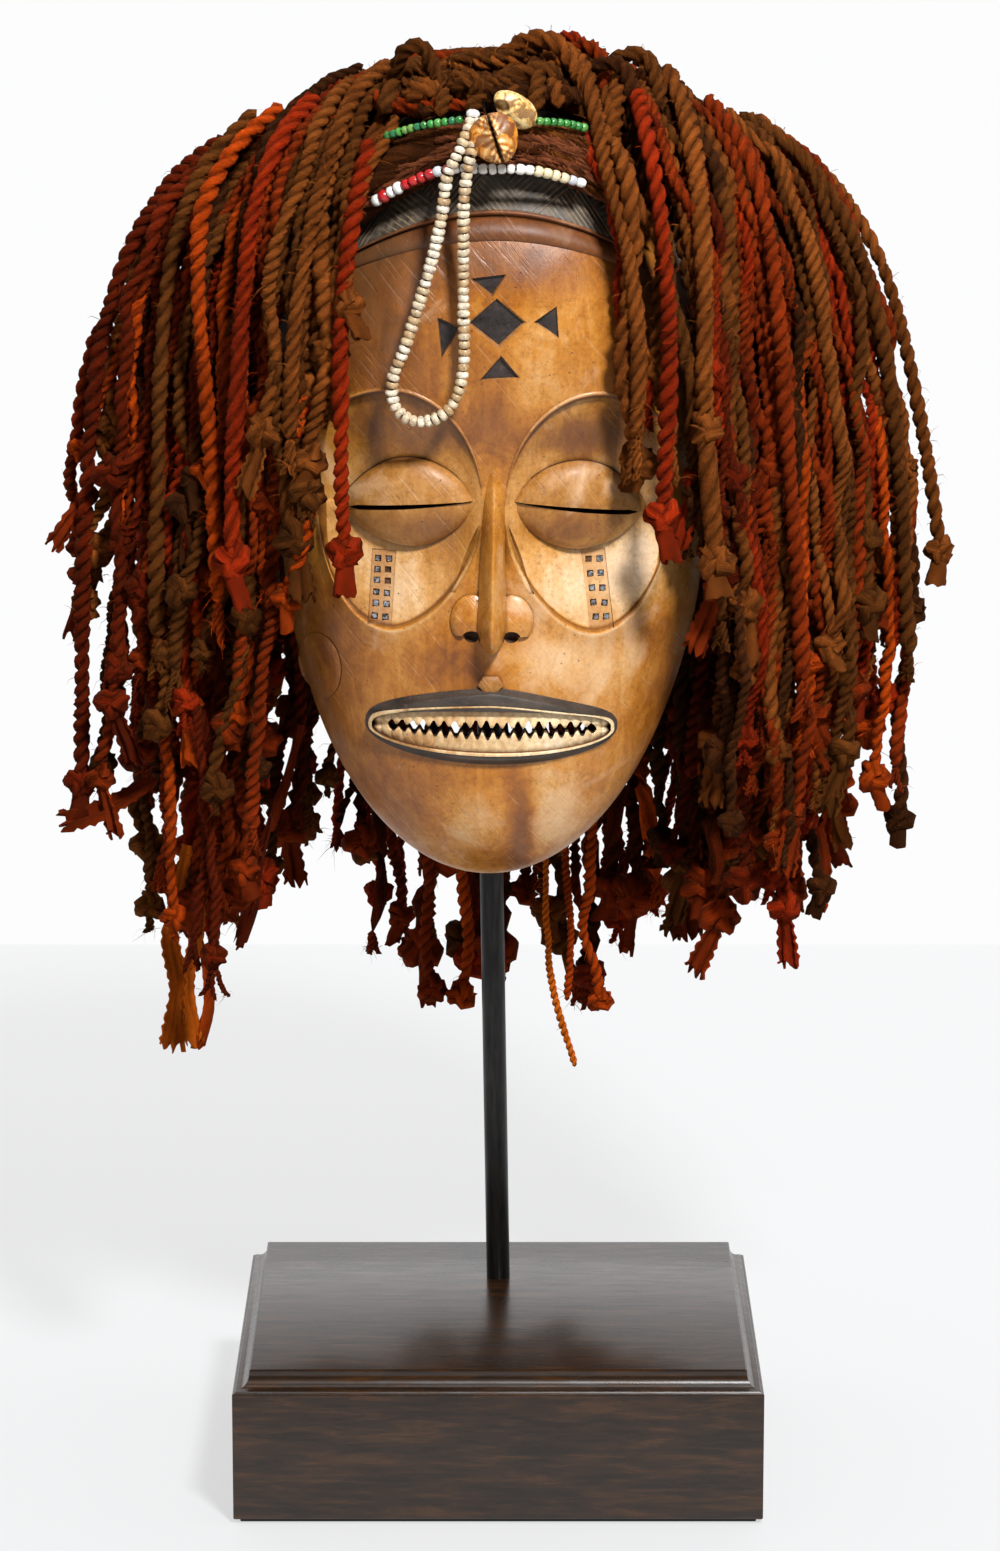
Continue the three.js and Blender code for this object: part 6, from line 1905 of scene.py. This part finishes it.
def makeBase():
    bm = bmesh.new()
    faceTop = stand["bottom"] + stand["faceHeight"]
    top = faceTop + stand["mouldingHeight"]
    steps = [(1.0, stand["bottom"]), (0.35, stand["bottom"] + 0.2), (0, stand["bottom"] + 0.8),
             (0, faceTop - 0.7),
             (0.12, faceTop - 0.25), (0.5, faceTop), (0.9, faceTop), (stand["lip"], faceTop + 0.5)]
    cove = stand["mouldingInset"] - stand["lip"]
    for i in range(1, 13):
        angle = i * math.pi / 24
        steps.append((stand["lip"] + cove * math.sin(angle),
                      faceTop + 0.6 + (stand["mouldingHeight"] - 2.2) * (1 - math.cos(angle))))
    inset = stand["mouldingInset"]
    steps += [(inset, top - 0.7), (inset + 0.15, top - 0.25), (inset + 0.6, top)]

    edges = []
    for step, z in steps:
        x, y = stand["width"] / 2 - step, stand["depth"] / 2 - step
        if not edges:
            corners = [bm.verts.new(corner) for corner in ((-x, -y, z), (x, -y, z), (x, y, z), (-x, y, z))]
            edges = list(bm.faces.new(corners[::-1]).edges)
            continue
        made = bmesh.ops.extrude_edge_only(bm, edges=edges)["geom"]
        edges = [item for item in made if isinstance(item, bmesh.types.BMEdge)]
        for vert in {vert for edge in edges for vert in edge.verts}:
            vert.co = (math.copysign(x, vert.co.x), math.copysign(y, vert.co.y), z)
    bmesh.ops.contextual_create(bm, geom=edges)
    bmesh.ops.scale(bm, verts=bm.verts, vec=(mm, mm, mm))
    bmesh.ops.recalc_face_normals(bm, faces=bm.faces)
    return meshFrom(bm)


def roundEdges(bm, edges, radius, segments):
    bmesh.ops.bevel(bm, geom=edges, offset=radius * mm, affect="EDGES", segments=segments, profile=0.5,
                    material=-1)


def makePad():
    bm = bmesh.new()
    bmesh.ops.create_cube(bm, size=1)
    inset, thick = stand["padInset"], stand["padThickness"]
    sizes = (stand["width"] - 2 * inset, stand["depth"] - 2 * inset, thick)
    bmesh.ops.scale(bm, verts=bm.verts, vec=[size * mm for size in sizes])
    bmesh.ops.translate(bm, verts=bm.verts, vec=(0, 0, thick / 2 * mm))
    roundEdges(bm, bm.edges[:], 0.3, 2)
    return meshFrom(bm)


def makeRod():
    bm = bmesh.new()
    foot = stand["bottom"] + stand["faceHeight"] + stand["mouldingHeight"] - rod["seatDepth"]
    length = rod["top"] - foot
    bmesh.ops.create_cone(bm, cap_ends=True, segments=48, radius1=rod["radius"] * mm,
                          radius2=rod["radius"] * mm, depth=length * mm)
    bmesh.ops.translate(bm, verts=bm.verts, vec=(0, 0, length / 2 * mm))
    rims = [edge for edge in bm.edges if abs(edge.verts[0].co.z - edge.verts[1].co.z) < 1e-6]
    roundEdges(bm, rims, 0.6, 3)
    lean = math.radians(rod["leanDegrees"])
    bmesh.ops.rotate(bm, verts=bm.verts, matrix=Matrix.Rotation(-lean, 3, "Y"))
    shift = math.tan(lean) * rod["seatDepth"]
    bmesh.ops.translate(bm, verts=bm.verts, vec=(shift * mm, rod["footY"] * mm, foot * mm))
    return meshFrom(bm)


def baseWood():
    material, place = newMaterial("dark base wood", Specular_IOR_Level=0.5, Coat_Weight=0.1,
                                  Coat_Roughness=0.15)
    grain = noiseOn(place, (42, 330, 330), 6, 0.65, 0.4)
    pores = noiseOn(place, (60, 900, 900), 3, 0.6)
    colour = ramp(grain, (0.28, tint(14, 7, 2)), (0.5, tint(36, 20, 7)), (0.68, tint(60, 35, 11)))
    colour = blend(0.7, colour, ramp(pores, (0.34, 0.6), (0.48, 1)), "MULTIPLY")
    return finishMaterial(material, colour, ramp(grain, (0.3, 0.30), (0.7, 0.2)), pores, 0.0001, 0.25)


def blackSteel():
    material, place = newMaterial("black steel", Metallic=0.6, Specular_IOR_Level=0.5)
    scuff = noiseOn(place, (500, 500, 60), 5, 0.6)
    colour = ramp(scuff, (0.35, tint(14, 13, 13)), (0.75, tint(44, 42, 40)))
    return finishMaterial(material, colour, ramp(scuff, (0.3, 0.42), (0.7, 0.3)), scuff, 0.0001, 0.3)


def darkFelt():
    material, place = newMaterial("dark felt", Roughness=0.98, Sheen_Weight=0.2)
    nap = noiseOn(place, 1400, 3, 0.7)
    colour = ramp(nap, (0.3, tint(10, 10, 10)), (0.7, tint(34, 33, 32)))
    return finishMaterial(material, colour, None, nap, 0.0003, 0.5)


finishPiece("base_wood", makeBase(), [baseWood()], ["base_block"], "dark_wood", 30)
finishPiece("base_underlay", makePad(), [darkFelt()], ["base_pad"], "felt", 30)
finishPiece("steel_rod", makeRod(), [blackSteel()], ["support_rod"], "black_steel", 30)
print("stand made")

# A plain pale floor and soft studio light: a large key from the upper right, a weak fill, and a
# room that is bright behind and above the object and dim in front of it
studio = {"floor": (0.17, 0.174, 0.18, 1), "floorGlow": 0.60, "floorFade": 0.1, "behind": 0.8, "depth": 2.2,
          "bright": (0.98, 0.98, 0.985), "dim": (0.055, 0.052, 0.048), "aim": (0, 0, 0.33),
          "lights": [("key", (0.48, -1.39, 1.72), 0.28, 64), ("top", (0.3, -0.1, 1.9), 0.8, 5),
                     ("fill", (-1.2, -1.6, 0.7), 0.9, 3.5)]}


def makeRoom():
    world = bpy.data.worlds.new("studio")
    world.use_nodes = True
    tree = world.node_tree
    way = node("SeparateXYZ", Vector=node("TexCoord", tree=tree).outputs["Generated"])
    behind = maths("MULTIPLY_ADD", way.outputs["Z"], 0.12, way.outputs["Y"])
    turned = maths("MULTIPLY_ADD", behind, 0.5, 0.5)
    colour = ramp(turned, (0.40, studio["dim"]), (0.60, studio["bright"]), smooth=True)
    tree.links.new(colour, tree.nodes["Background"].inputs["Color"])
    bpy.context.scene.world = world


def makeFloor():
    bm = bmesh.new()
    bmesh.ops.create_grid(bm, x_segments=1, y_segments=1, size=1)
    bmesh.ops.scale(bm, vec=(4, studio["depth"], 1), verts=bm.verts)
    bmesh.ops.translate(bm, vec=(0, studio["behind"] - studio["depth"], 0), verts=bm.verts)
    material, place = newMaterial("pale floor", Base_Color=studio["floor"], Roughness=0.7,
                                  Emission_Color=(1, 1, 1, 1))
    away = node("SeparateXYZ", Vector=place).outputs["Y"]
    glow = maths("MULTIPLY_ADD", away, studio["floorFade"], studio["floorGlow"])
    tree = material.node_tree
    tree.links.new(glow, tree.nodes["Principled BSDF"].inputs["Emission Strength"])
    mesh = meshFrom(bm)
    mesh.name = "floor"
    mesh.materials.append(material)
    newObject("floor", mesh)


def makeLamps():
    for name, place, size, watts in studio["lights"]:
        lamp = bpy.data.lights.new(name, "AREA")
        lamp.size = size
        lamp.energy = watts
        light = newObject(name, lamp)
        light.location = place
        light.rotation_euler = (Vector(studio["aim"]) - Vector(place)).to_track_quat("-Z", "Y").to_euler()


makeFloor()
makeRoom()
makeLamps()
bpy.context.scene.view_settings.view_transform = "Standard"
print("studio lit")
